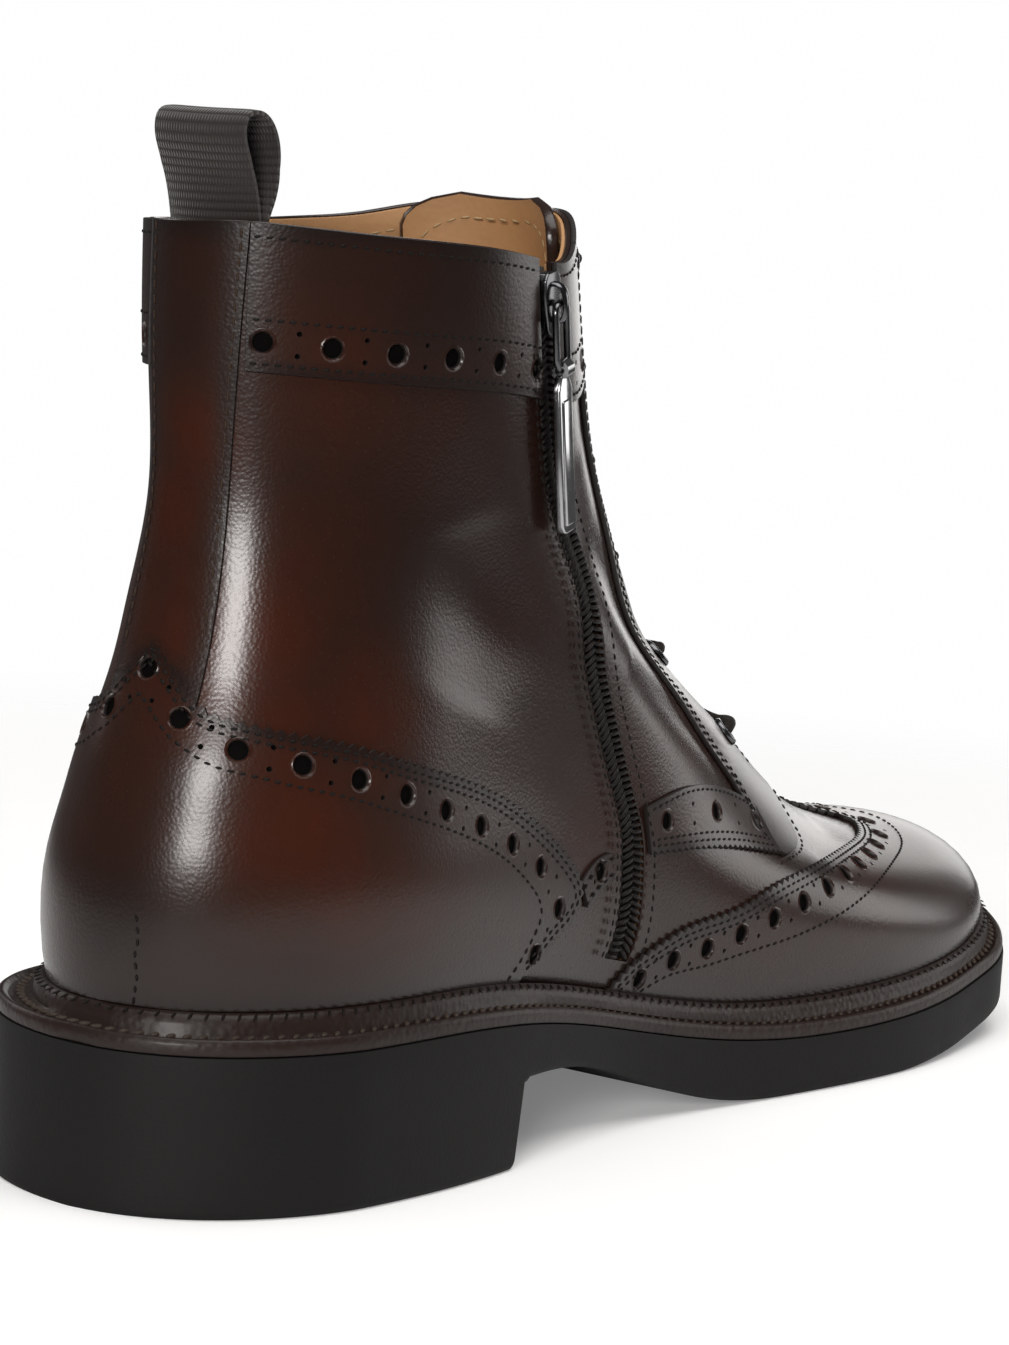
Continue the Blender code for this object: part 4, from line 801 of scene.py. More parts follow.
# A cut piece over the last: its outline and round holes are given by turn and level
def cutLeather(name, outline, slot, nodes, holes=(), low=0.0001, high=0.0011, spacing=0.0028, material=None):
    outline = np.array(outline)
    middle = outline.mean(axis=0)
    scale = np.array([1 / turnSpan(middle[0], middle[1], 1.0), 1 / levelSpan(middle[0], middle[1], 1.0)])
    loops = [outline]
    firstLoops = []
    for turn, level, radius in holes:
        rimmed = radius > holeSizes["rimmedFrom"]
        sides = holeSizes["rimmedSides" if rimmed else "plainSides"]
        angles = np.arange(sides) / sides * 2 * np.pi
        firstLoops.append(len(loops))
        reaches = (radius, radius + holeSizes["crest"], radius + holeSizes["rimFoot"])
        for reach in reaches[:3 if rimmed else 1]:
            loops.append(nudge(turn, level, reach * np.cos(angles), reach * np.sin(angles)))
    flat = [loop * scale for loop in loops]
    low2, high2 = flat[0].min(axis=0), flat[0].max(axis=0)
    u, v = np.meshgrid(
        np.arange(low2[0], high2[0], spacing), np.arange(low2[1], high2[1], spacing), indexing="ij"
    )
    grid = np.c_[u.ravel(), v.ravel()]
    grid = grid[inPolygon(grid, flat[0])]
    fixed = np.concatenate(flat)
    grid = grid[nearest(grid, fixed) > 0.45 * spacing]
    edges = []
    first = 0
    for loop in flat:
        count = len(loop)
        edges += [(first + k, first + (k + 1) % count) for k in range(count)]
        first += count
    points = [Vector(p) for p in np.concatenate([fixed, grid])]
    made = delaunay_2d_cdt(points, edges, [list(range(len(outline)))], 1, 1e-7)
    flatPoints = np.array([p[:] for p in made[0]])
    triangles = np.array(made[2])
    centres = flatPoints[triangles].mean(axis=1)
    keep = inPolygon(centres, flat[0])
    for (turn, level, radius), index in zip(holes, firstLoops):
        near = np.linalg.norm(centres - np.array([turn, level]) * scale, axis=1) < 3 * radius
        keep &= ~(near & inPolygon(centres, flat[index]))
    triangles = triangles[keep]
    uv = flatPoints / scale
    lift = np.zeros(len(uv))
    raised = np.zeros(len(uv), bool)
    for (turn, level, radius), index in zip(holes, firstLoops):
        if radius > holeSizes["rimmedFrom"]:
            for loop, height in zip(flat[index:], (holeSizes["edgeLift"], holeSizes["crestLift"])):
                touched = nearest(flatPoints, loop) < 1e-6
                lift[touched] = height
                raised |= touched
    outside = surfacePoint(uv[:, 0], uv[:, 1], high + lift)
    inside = surfacePoint(uv[:, 0], uv[:, 1], low)
    vertices, faces, topCount = closeSkins(outside, inside, triangles.tolist(), 0.00012)
    piece, used = makeMesh(name, vertices, faces, material or panelLeather)
    piece.data.materials.append(cutEdge)
    for polygon in piece.data.polygons[2 * topCount:]:
        polygon.material_index = 1
    paint(piece, uv, len(vertices) // len(uv), used, nearest(flatPoints, flat[0]))
    setNormals(piece, uv, used, topCount, len(uv), raised)
    return place(piece, slot, *nodes)


# A zigzag cut along a line: points on it and points to its left, in turn
def pinked(line, pitch=0.0021, depth=0.0008):
    count = 2 * max(2, int(round(placesAlong(np.array(line))[-1] / pitch)))
    even = alongLine(line, count=count + 1, smooth=False)
    inset = shiftLine(even, depth)
    even[1::2] = inset[1::2]
    return even


# Repeats along seams, by Geometry Nodes
def repeatTree():
    tree = bpy.data.node_groups.new("small parts along seams", "GeometryNodeTree")
    face = tree.interface
    face.new_socket("Geometry", in_out="INPUT", socket_type="NodeSocketGeometry")
    for name, kind, value in (
        ("Pitch", "Float", 0.002), ("Size", "Vector", (0.0016, 0.0005, 0.0004)), ("Angle", "Float", 0.0),
        ("Lift", "Float", 0.0), ("Wobble", "Float", 0.06), ("Seed", "Int", 3), ("Material", "Material", None),
    ):
        socket = face.new_socket(name, in_out="INPUT", socket_type="NodeSocket" + kind)
        if value is not None:
            socket.default_value = value
    face.new_socket("Geometry", in_out="OUTPUT", socket_type="NodeSocketGeometry")
    nodes = Nodes(tree)
    given = nodes.add("NodeGroupInput").outputs
    out = nodes.add("NodeGroupOutput")
    curve = nodes.add("GeometryNodeMeshToCurve", Mesh=given["Geometry"])
    spaced = nodes.add("GeometryNodeResampleCurve", {"mode": "LENGTH"})
    nodes.link(curve.outputs[0], spaced, "Curve")
    nodes.link(given["Pitch"], spaced, "Length")
    outward = nodes.add("GeometryNodeInputNamedAttribute", {"data_type": "FLOAT_VECTOR"}, Name="outward")
    tangent = nodes.add("GeometryNodeInputTangent")
    axes = nodes.add("FunctionNodeAxesToRotation", {"primary_axis": "Z", "secondary_axis": "X"})
    nodes.link(outward.outputs["Attribute"], axes, 0)
    nodes.link(tangent.outputs[0], axes, 1)
    wobble = nodes.add("FunctionNodeRandomValue", {"data_type": "FLOAT"})
    nodes.link(nodes.math("MULTIPLY", given["Wobble"], -1.0), wobble, 2)
    nodes.link(given["Wobble"], wobble, 3)
    nodes.link(given["Seed"], wobble, "Seed")
    turned = nodes.add("ShaderNodeCombineXYZ")
    nodes.link(nodes.math("ADD", given["Angle"], wobble.outputs[1]), turned, "Z")
    spun = nodes.add("FunctionNodeRotateRotation", {"rotation_space": "LOCAL"})
    nodes.link(axes.outputs[0], spun, 0)
    nodes.link(turned.outputs[0], spun, 1)
    bead = nodes.add("GeometryNodeMeshUVSphere", Segments=8, Rings=5, Radius=0.5)
    shaped = nodes.add("GeometryNodeTransform")
    nodes.link(bead.outputs[0], shaped, "Geometry")
    nodes.link(given["Size"], shaped, "Scale")
    copies = nodes.add("GeometryNodeInstanceOnPoints")
    nodes.link(spaced.outputs[0], copies, "Points")
    nodes.link(shaped.outputs[0], copies, "Instance")
    nodes.link(spun.outputs[0], copies, "Rotation")
    raised = nodes.add("GeometryNodeTranslateInstances")
    rise = nodes.add("ShaderNodeCombineXYZ")
    nodes.link(given["Lift"], rise, "Z")
    nodes.link(copies.outputs[0], raised, "Instances")
    nodes.link(rise.outputs[0], raised, "Translation")
    real = nodes.add("GeometryNodeRealizeInstances", Geometry=raised.outputs[0])
    smooth = nodes.add("GeometryNodeSetShadeSmooth", Geometry=real.outputs[0])
    coloured = nodes.add("GeometryNodeSetMaterial", Geometry=smooth.outputs[0])
    nodes.link(given["Material"], coloured, "Material")
    nodes.link(coloured.outputs[0], out, 0)
    return tree


repeats = repeatTree()


# Small parts along lines of (turn, level) points, or of points with their normals
def repeated(name, lines, slot, offset=0.0011, nodes=(), **inputs):
    places = []
    normals = []
    edges = []
    for line in lines:
        first = sum(len(p) for p in places)
        if isinstance(line, tuple):
            spotPlaces, spotNormals = line
        else:
            spotPlaces = surfacePoint(line[:, 0], line[:, 1], offset)
            spotNormals = shownNormal(line[:, 0], line[:, 1])
        places.append(spotPlaces)
        normals.append(spotNormals)
        edges += [(first + k, first + k + 1) for k in range(len(spotPlaces) - 1)]
    mesh = bpy.data.meshes.new(name)
    mesh.from_pydata(np.concatenate(places).tolist(), edges, [])
    layer = mesh.attributes.new("outward", "FLOAT_VECTOR", "POINT")
    layer.data.foreach_set("vector", np.concatenate(normals).astype(np.float32).ravel())
    path = bpy.data.objects.new(name + "_path", mesh)
    bpy.context.scene.collection.objects.link(path)
    modifier = path.modifiers.new("repeats", "NODES")
    modifier.node_group = repeats
    for item in repeats.interface.items_tree:
        if item.in_out == "INPUT" and item.name in inputs:
            modifier[item.identifier] = inputs[item.name]
    bpy.context.view_layer.update()
    graph = bpy.context.evaluated_depsgraph_get()
    made = bpy.data.meshes.new_from_object(path.evaluated_get(graph))
    made.name = name
    bpy.data.objects.remove(path)
    piece = bpy.data.objects.new(name, made)
    bpy.context.scene.collection.objects.link(piece)
    return place(piece, slot, *nodes)


# Upper: leather outside, tan lining inside
upperSizes = {
    "leather": 0.0010, "lining": 0.0009, "slotHalf": 0.0042, "columns": (44, 1, 52, 2, 96), "rows": 92,
}


def upperColumns(levels, slotHalf, throatBeyond):
    middle = zipTurnAt(levels)[..., 0]
    half = turnSpan(middle, levels, slotHalf)
    stops = [
        np.zeros_like(levels), middle - half, middle + half, throatTurn(levels, -1, throatBeyond),
        throatTurn(levels, 1, throatBeyond), np.ones_like(levels),
    ]
    turns = []
    for start, end, count in zip(stops[:-1], stops[1:], upperSizes["columns"]):
        turns += [start + (end - start) * k / count for k in range(count)]
    return np.array(turns)


# One wall right round the foot, open at the zip's slot, the throat, the collar and the foot
def upperShell(name, high, low, topDrop, slotHalf, throatBeyond, material, rowCount, bulge):
    fixed = [zipEndLevel, throatLevel]
    free = [x for x in np.linspace(0.0, 1.0, rowCount) if min(abs(x - f) for f in fixed) > 0.004]
    levels = np.array(sorted(free + fixed))
    turns = upperColumns(levels, slotHalf, throatBeyond)
    top = collarLevel(turns[:, -1])[:, None] - topDrop
    share = np.clip((levels - 0.76) / 0.24, 0, 1)
    grid = np.where(levels > 0.76, 0.76 + share * (top - 0.76), np.tile(levels, (len(turns), 1)))
    cells = upperSizes["columns"]
    columns, rows = grid.shape
    keep = np.ones((columns, rows - 1), bool)
    keep[cells[0], levels[:-1] >= zipEndLevel - 1e-9] = False
    throat = sum(cells[:3])
    keep[throat: throat + cells[3], levels[:-1] >= throatLevel - 1e-9] = False
    rings = []
    for i in range(columns):
        following = (i + 1) % columns
        for j in range(rows - 1):
            if keep[i, j]:
                rings.append((i * rows + j, following * rows + j, following * rows + j + 1, i * rows + j + 1))
    uv = np.stack([turns, grid], -1).reshape(-1, 2)
    outside = surfacePoint(uv[:, 0], uv[:, 1], high)
    inside = surfacePoint(uv[:, 0], uv[:, 1], low)
    vertices, faces, topCount = closeSkins(outside, inside, rings, bulge)
    piece, used = makeMesh(name, vertices, faces, material)
    return piece, uv, used, len(vertices) // len(uv)


skin, skinUV, skinUsed, copies = upperShell(
    "upper_leather", 0.0, -upperSizes["leather"], 0.0, upperSizes["slotHalf"], 0.0, upperLeather,
    upperSizes["rows"], 0.0003,
)
paint(skin, skinUV, copies, skinUsed)
place(skin, "upper_leather", "upper")
lining, liningUV, liningUsed, copies = upperShell(
    "lining", -upperSizes["leather"] - 0.00005, -upperSizes["leather"] - upperSizes["lining"], 0.0022, 0.0052,
    0.0006, tanLining, 40, 0.0003,
)
place(lining, "lining_leather")
turns = np.linspace(0.335, 0.966, 200) % 1.0
rowLine = np.c_[turns, collarLevel(turns) - 0.020]
liningStitch = {"Pitch": 0.0030, "Size": (0.0022, 0.0005, 0.0003), "Material": liningThread}
repeated("lining_stitches", [insideRow(rowLine, 0.0019)], "lining_leather", **liningStitch)
print("upper and lining done")

# Overlays
overlay = {
    "foot": 0.047, "toothPitch": 0.0024, "toothDepth": 0.0010, "firstRow": 0.0017, "secondRow": 0.0031,
    "bigHole": 0.0019, "smallHole": 0.00055, "pairGap": 0.0020,
}
seams = []  # every dark seam row, as lines of (turn, level)
stripSeams = []
holeSpots = []  # every hole, with its radius


# Big holes at even spaces along a line, with a pair of small ones between each two
def punch(line, count):
    dense = alongLine(line, count=2 * count - 1, smooth=False)
    holes = [(*dense[k], overlay["bigHole"]) for k in range(0, 2 * count - 1, 2)]
    for sign in (-1, 1):
        beside = shiftLine(dense, sign * overlay["pairGap"])
        holes += [(*beside[k], overlay["smallHole"]) for k in range(1, 2 * count - 1, 2)]
    return holes


# heel counter: its peaked top edge, then down its front ends to the welt
counterHalf = (
    (0.0000, 0.482), (0.0120, 0.458), (0.024, 0.429), (0.041, 0.388), (0.061, 0.374), (0.088, 0.362),
    (0.115, 0.348), (0.141, 0.322), (0.168, 0.292), (0.187, 0.256), (0.199, 0.210), (0.2065, 0.169),
    (0.208, 0.143), (0.2027, 0.112), (0.1927, 0.086), (0.184, 0.060), (0.179, 0.047),
)
innerHalf = alongLine(counterHalf, spacing=0.001)
outerHalf = innerHalf[::-1] * (-1, 1)
counterTop = np.r_[outerHalf[:-1], innerHalf]  # from the outer tip over the back to the inner tip
foot = np.c_[np.linspace(0.179, -0.179, 90)[1:-1], np.full(88, overlay["foot"])]
counterRows = [shiftLine(counterTop, -overlay[row])[3:-3] for row in ("firstRow", "secondRow")]
counterLow = alongLine((
    (0.0000, 0.399), (0.0120, 0.370), (0.0233, 0.342), (0.0346, 0.323), (0.0447, 0.308), (0.0636, 0.296),
    (0.0857, 0.282), (0.1038, 0.270), (0.1261, 0.243), (0.1493, 0.209), (0.1694, 0.173), (0.1830, 0.137),
    (0.1868, 0.112), (0.1815, 0.084), (0.1740, 0.052),
), spacing=0.001)
counterRows.append(np.r_[counterLow[::-1] * (-1, 1), counterLow[1:]])
counterPunch = (
    (0.0000, 0.4387), (0.0276, 0.3689), (0.0576, 0.3330), (0.0855, 0.3179), (0.1093, 0.3005),
    (0.1306, 0.2760), (0.1502, 0.2415), (0.1669, 0.2096), (0.1820, 0.1777), (0.1925, 0.1468),
    (0.1950, 0.1135), (0.1840, 0.0740),
)
innerHoles = punch(alongLine(counterPunch, count=240), 12)
outerHoles = [((-turn), level, radius) for turn, level, radius in innerHoles[1:]]
counterHoles = innerHoles + outerHoles
counterEdge = pinked(counterTop[::-1], overlay["toothPitch"], overlay["toothDepth"])[::-1]
cutLeather("heel_counter_leather", np.r_[counterEdge, foot], "upper_leather", ["heel_counter"], counterHoles)
seams += counterRows
holeSpots += counterHoles

# wing cap
capHalf = (
    (0.2190, 0.047), (0.2256, 0.0741), (0.2330, 0.0928), (0.2495, 0.1268), (0.2722, 0.1600),
    (0.2952, 0.1980), (0.3291, 0.2290), (0.3643, 0.2414), (0.3895, 0.2408), (0.4119, 0.2385),
    (0.4331, 0.2400), (0.4520, 0.2450), (0.4700, 0.2640), (0.4850, 0.2860), (0.5000, 0.3050),
)
innerCap = alongLine(capHalf, spacing=0.001)
capTop = np.r_[innerCap, mirrorLine(innerCap)[1:]]
foot = np.c_[np.linspace(0.781, 0.219, 240)[1:-1], np.full(238, overlay["foot"])]
capPunch = (
    (0.2300, 0.0640), (0.2375, 0.0803), (0.2519, 0.1009), (0.2685, 0.1250), (0.2857, 0.1493),
    (0.3060, 0.1744), (0.3250, 0.1928), (0.3465, 0.2054), (0.3742, 0.2133), (0.3949, 0.2155),
    (0.4250, 0.2175), (0.4480, 0.2260), (0.4660, 0.2390), (0.4840, 0.2540),
)
innerHoles = punch(alongLine(capPunch, count=280), 14)
capHoles = innerHoles + [(1 - turn, level, radius) for turn, level, radius in innerHoles]
capRows = [shiftLine(capTop, -overlay[row])[3:-3] for row in ("firstRow", "secondRow")]
capLow = alongLine((
    (0.2320, 0.0530), (0.2388, 0.0686), (0.2532, 0.0860), (0.2676, 0.1028), (0.2829, 0.1178),
    (0.3058, 0.1402), (0.3503, 0.1776), (0.3816, 0.1888), (0.4182, 0.1934), (0.4417, 0.2003),
    (0.4700, 0.2120), (0.5000, 0.2400),
), spacing=0.001)
capRows.append(np.r_[capLow, mirrorLine(capLow)[1:]])
cutLeather(
    "wing_cap_leather", np.r_[pinked(capTop, overlay["toothPitch"], -overlay["toothDepth"]), foot],
    "upper_leather", ["wing_cap"], capHoles, spacing=0.0034,
)
seams += capRows
holeSpots += capHoles
print("heel counter and wing cap done")

# back strip over the back seam
stripSizes = {"half": 0.0108, "footShare": 0.86, "underCounter": 0.016, "thick": 0.0009, "row": 0.0013}
across = np.linspace(-1, 1, 23)
footTurns = turnSpan(0.0, 0.45, stripSizes["half"] * stripSizes["footShare"]) * across
headTurns = turnSpan(0.0, 0.90, stripSizes["half"]) * across
footLevels = np.interp(np.abs(footTurns), innerHalf[:40, 0], innerHalf[:40, 1]) - stripSizes["underCounter"]
share = np.linspace(0, 1, 60)[1:-1, None]
stripFoot = np.array([footTurns[-1], footLevels[-1]])
stripHead = np.array([headTurns[-1], collarLevel(headTurns[-1])])
stripRight = stripFoot + (stripHead - stripFoot) * share
stripLeft = (stripRight * (-1, 1))[::-1]
stripTop = np.c_[headTurns, collarLevel(headTurns)][::-1]
cutLeather(
    "back_strip_leather", np.r_[np.c_[footTurns, footLevels], stripRight, stripTop, stripLeft],
    "upper_leather", ["back_strip"], low=0.0, high=stripSizes["thick"],
)
stripSeams += [shiftLine(stripRight[9:], stripSizes["row"]), shiftLine(stripLeft[:-9], stripSizes["row"])]


# collar panels, with a band of punching between two rows of stitches
panelSizes = {
    "drop": 0.0265, "lowRow": 0.0014, "highRow": 0.0090, "topRow": 0.0024, "holeLine": 0.0052, "gap": 0.0002,
    "zipSide": 0.0042,
}


def collarPanel(name, node, start, end, holeCount):
    drop = float(levelSpan(0.1, 0.88, panelSizes["drop"]))
    share = np.linspace(0, 1, 40)
    headTurn = start(0.95) + (end(0.95) - start(0.95)) * share
    footTurn = start(0.95 - drop) + (end(0.95 - drop) - start(0.95 - drop)) * share
    head = np.c_[headTurn, collarLevel(headTurn)]
    foot = np.c_[footTurn, collarLevel(footTurn) - drop]
    rise = np.linspace(0, 1, 14)[1:-1, None]
    right = foot[-1] + (head[-1] - foot[-1]) * rise
    left = (foot[0] + (head[0] - foot[0]) * rise)[::-1]
    rows = [shiftLine(foot, panelSizes["lowRow"]), shiftLine(foot, panelSizes["highRow"])]
    rows.append(shiftLine(head, -panelSizes["topRow"]))
    holes = punch(shiftLine(foot, panelSizes["holeLine"])[2:-2], holeCount)
    cutLeather(name, np.r_[foot, right, head[::-1], left], "upper_leather", [node], holes)
    seams.extend([row[1:-1] for row in rows])
    holeSpots.extend(holes)


def stripEdge(side):
    half = stripSizes["half"] + panelSizes["gap"]
    return lambda level: (0.0 if side < 0 else 1.0) - side * turnSpan(0.0, 0.9, half)


def zipEdge(side):
    return lambda level: zipTurn(np.asarray(level, float), side * panelSizes["zipSide"])


def facingBack(side):
    return lambda level: throatTurn(np.asarray(level, float), side, facingSizes["width"] + panelSizes["gap"])


facingSizes = {"width": 0.020, "backRows": (0.0013, 0.0027), "frontRow": 0.0018, "footRow": 0.0013}
collarPanel("collar_panel_inner_leather", "collar_panel_inner", stripEdge(-1), zipEdge(-1), 6)
collarPanel("collar_panel_front_leather", "collar_panel_front", zipEdge(1), facingBack(-1), 2)
collarPanel("collar_panel_outer_leather", "collar_panel_outer", facingBack(1), stripEdge(1), 8)

# facings and the quarters' lower bands
cornerEdge = ((0.3272, 0.258), (0.3582, 0.283), (0.3800, 0.310), (0.4014, 0.334), (0.4200, 0.350))
quarterEdge = ((0.2469, 0.219), (0.2802, 0.259), (0.3050, 0.272), (0.3254, 0.262))


def facing(name, node, side):
    levels = np.linspace(0, 1, 60)
    footLine = alongLine(cornerEdge, count=16)[::-1]
    if side > 0:
        footLine = footLine * (-1, 1) + (1, 0)

    def rising(share, start):
        topTurn = throatTurn(np.array(0.96), side, facingSizes["width"] * share)
        run = start[1] + (float(collarLevel(topTurn)) - start[1]) * levels
        edge = throatTurn(run, side, facingSizes["width"] * share)
        settle = ease(levels / 0.22)
        return np.c_[start[0] * (1 - settle) + edge * settle, run]

    front = rising(0.0, footLine[0])
    back = rising(1.0, footLine[-1])
    headTurn = np.linspace(front[-1, 0], back[-1, 0], 16)
    head = np.c_[headTurn, collarLevel(headTurn)]
    loop = np.r_[footLine[::-1], front[1:-1], head, back[1:-1][::-1]]
    if side > 0:
        loop = loop[::-1]
    cutLeather(name, loop, "upper_leather", [node])
    seams.extend([
        *[shiftLine(back[first:-1], side * row) for first, row in zip((3, 5), facingSizes["backRows"])],
        shiftLine(front[3:-1], -side * facingSizes["frontRow"]),
        shiftLine(footLine[1:], -side * facingSizes["footRow"]),
    ])


facing("facing_inner_leather", "facing_inner", -1)
facing("facing_outer_leather", "facing_outer", 1)


bandSizes = {
    "height": 0.0090, "toothPitch": 0.0021, "toothDepth": 0.0007, "lowRows": (0.0016, 0.0029),
    "topRow": 0.0010, "holeLine": 0.0058,
}


def quarterBand(name, node, side, start, holeCount):
    foot = alongLine([start, *quarterEdge[1:]], spacing=0.0012)
    head = shiftLine(foot, bandSizes["height"])
    holes = punch(shiftLine(foot, bandSizes["holeLine"])[5:-4], holeCount)
    loop = np.r_[pinked(foot, bandSizes["toothPitch"], bandSizes["toothDepth"]), head[::-1]]
    rows = [shiftLine(foot, row) for row in bandSizes["lowRows"]]
    rows.append(shiftLine(head, -bandSizes["topRow"]))
    if side > 0:
        loop = mirrorLine(loop)
        rows = [mirrorLine(row) for row in rows]
        holes = [(1 - turn, level, radius) for turn, level, radius in holes]
    cutLeather(name, loop, "upper_leather", [node], holes)
    seams.extend([row[2:-2] for row in rows])
    holeSpots.extend(holes)


quarterBand("quarter_band_inner_leather", "quarter_band_inner", -1, (0.2469, 0.219), 3)
quarterBand("quarter_band_outer_leather", "quarter_band_outer", 1, (0.2140, 0.172), 5)
print("strip, collar, facings and bands done")

# short punched strip between the counter's tip and the zip, on the inner side
linkTop = alongLine(((0.2085, 0.150), (0.2150, 0.172), (0.2215, 0.190), (0.2270, 0.201)), count=24)
linkFoot = alongLine(((0.2090, 0.124), (0.2140, 0.140), (0.2185, 0.152), (0.2225, 0.162)), count=24)
linkHoles = [(0.2183, 0.1695, overlay["bigHole"]), (0.2140, 0.1540, overlay["smallHole"])]
cutLeather(
    "link_strip_leather", np.r_[linkFoot, linkTop[::-1]], "upper_leather", [], linkHoles,
    low=0.0, high=0.0009, spacing=0.0016,
)
seams += [shiftLine(linkTop, -0.0011), shiftLine(linkFoot, 0.0011)]
holeSpots += linkHoles
dart = np.array([(0.0200 + 0.0016 * (k % 2), 0.052 + 0.0062 * k) for k in range(11)])
seams.append(alongLine(dart, spacing=0.0004, smooth=False))

# stitches along the zip, in metres behind its middle, then every seam at once
zipRows = {"behind the zip": 0.0060, "second row behind it": 0.0074, "in front of the zip": -0.0060}
levels = np.linspace(0.082, 0.830, 220)
for metres in zipRows.values():
    seams.append(np.c_[zipTurn(levels, -metres), levels])
print("seam rows", len(seams))
repeated(
    "seam_stitches", seams, "upper_leather", 0.00112, Pitch=0.0022,
    Size=(0.0014, 0.00060, 0.00044), Angle=0.12, Material=seamThread,
)
repeated(
    "strip_stitches", stripSeams, "upper_leather", 0.00092, Pitch=0.0026,
    Size=(0.0020, 0.00055, 0.00045), Angle=0.08, Material=stripThread,
)


# near-black discs at the bottoms of the punched holes: painted shade
def holeBottoms():
    vertices = []
    faces = []
    sides = holeSizes["bottomSides"]
    angles = np.arange(sides) / sides * 2 * np.pi
    for turn, level, radius in holeSpots:
        first = len(vertices)
        ring = nudge(turn, level, 1.04 * radius * np.cos(angles), 1.04 * radius * np.sin(angles))
        for height in (holeSizes["bottomHigh"], holeSizes["bottomLow"]):
            vertices += surfacePoint(ring[:, 0], ring[:, 1], height).tolist()
        faces.append(tuple(range(first, first + sides)))
        faces.append(tuple(range(first + 2 * sides - 1, first + sides - 1, -1)))
        for k in range(sides):
            after = (k + 1) % sides
            faces.append((first + after, first + k, first + sides + k, first + sides + after))
    piece, _ = makeMesh("painted_shade_hole_bottoms", vertices, faces, holeShadow)
    place(piece, "upper_leather")


holeBottoms()
print("stitches and holes done")

# Welt: rounded lip, stitched channel and inner bead
weltSizes = {
    "inset": 0.0004, "lip": 0.0034, "lipWidth": 0.0014, "channel": 0.0026, "bead": 0.0030, "level": 0.046,
    "columns": 420, "stitchPitch": 0.0029, "gap": 0.0003,
}


def soleHalves(x):
    along = np.asarray(x, float) / last["soleLength"]
    widths = soleWidth(along) * last["ballWidth"]
    heel = np.clip((last["heelRound"] - x) / last["heelRound"], 0, 1)
    toe = np.clip((x - last["soleLength"] + last["toeRound"]) / last["toeRound"], 0, 1)
    ends = np.sqrt(np.clip(1 - heel ** 2, 0, 1)) * np.sqrt(np.clip(1 - toe ** 2, 0, 1))
    return widths[..., 0] * ends, widths[..., 1] * ends


def soleEdge(turn, inset=0.0):
    along = (1 - np.cos(2 * np.pi * turn)) / 2
    x = inset + (last["soleLength"] - 2 * inset) * along
    inner, outer = soleHalves(x)
    half = np.where(turn < 0.5, -inner, outer)
    return np.stack([x, np.sign(half) * np.clip(np.abs(half) - inset, 0, None)], -1)


# A tube of rings: grid is columns by points of the profile, closed both ways
def ringMesh(name, grid, material, closed=True, angle=50.0):
    columns, rows = grid.shape[:2]
    faces = []
    for i in range(columns if closed else columns - 1):
        following = (i + 1) % columns
        for j in range(rows):
            after = (j + 1) % rows
            faces.append((i * rows + j, following * rows + j, following * rows + after, i * rows + after))
    if not closed:
        faces.append(tuple(range(rows))[::-1])
        faces.append(tuple(range((columns - 1) * rows, columns * rows)))
    piece, _ = makeMesh(name, grid.reshape(-1, 3), faces, material, angle)
    outwards(piece)
    piece.data.shade_smooth()
    piece.data.set_sharp_from_angle(angle=math.radians(angle))
    return piece


def evenTurns(count):  # turns at even steps along the sole's edge
    dense = np.linspace(0, 1, 4001)
    reach = runLengths(soleEdge(np.clip(dense, 0, 1 - 1e-9)))
    return np.interp(np.arange(count) / count * reach[-1], reach, dense)


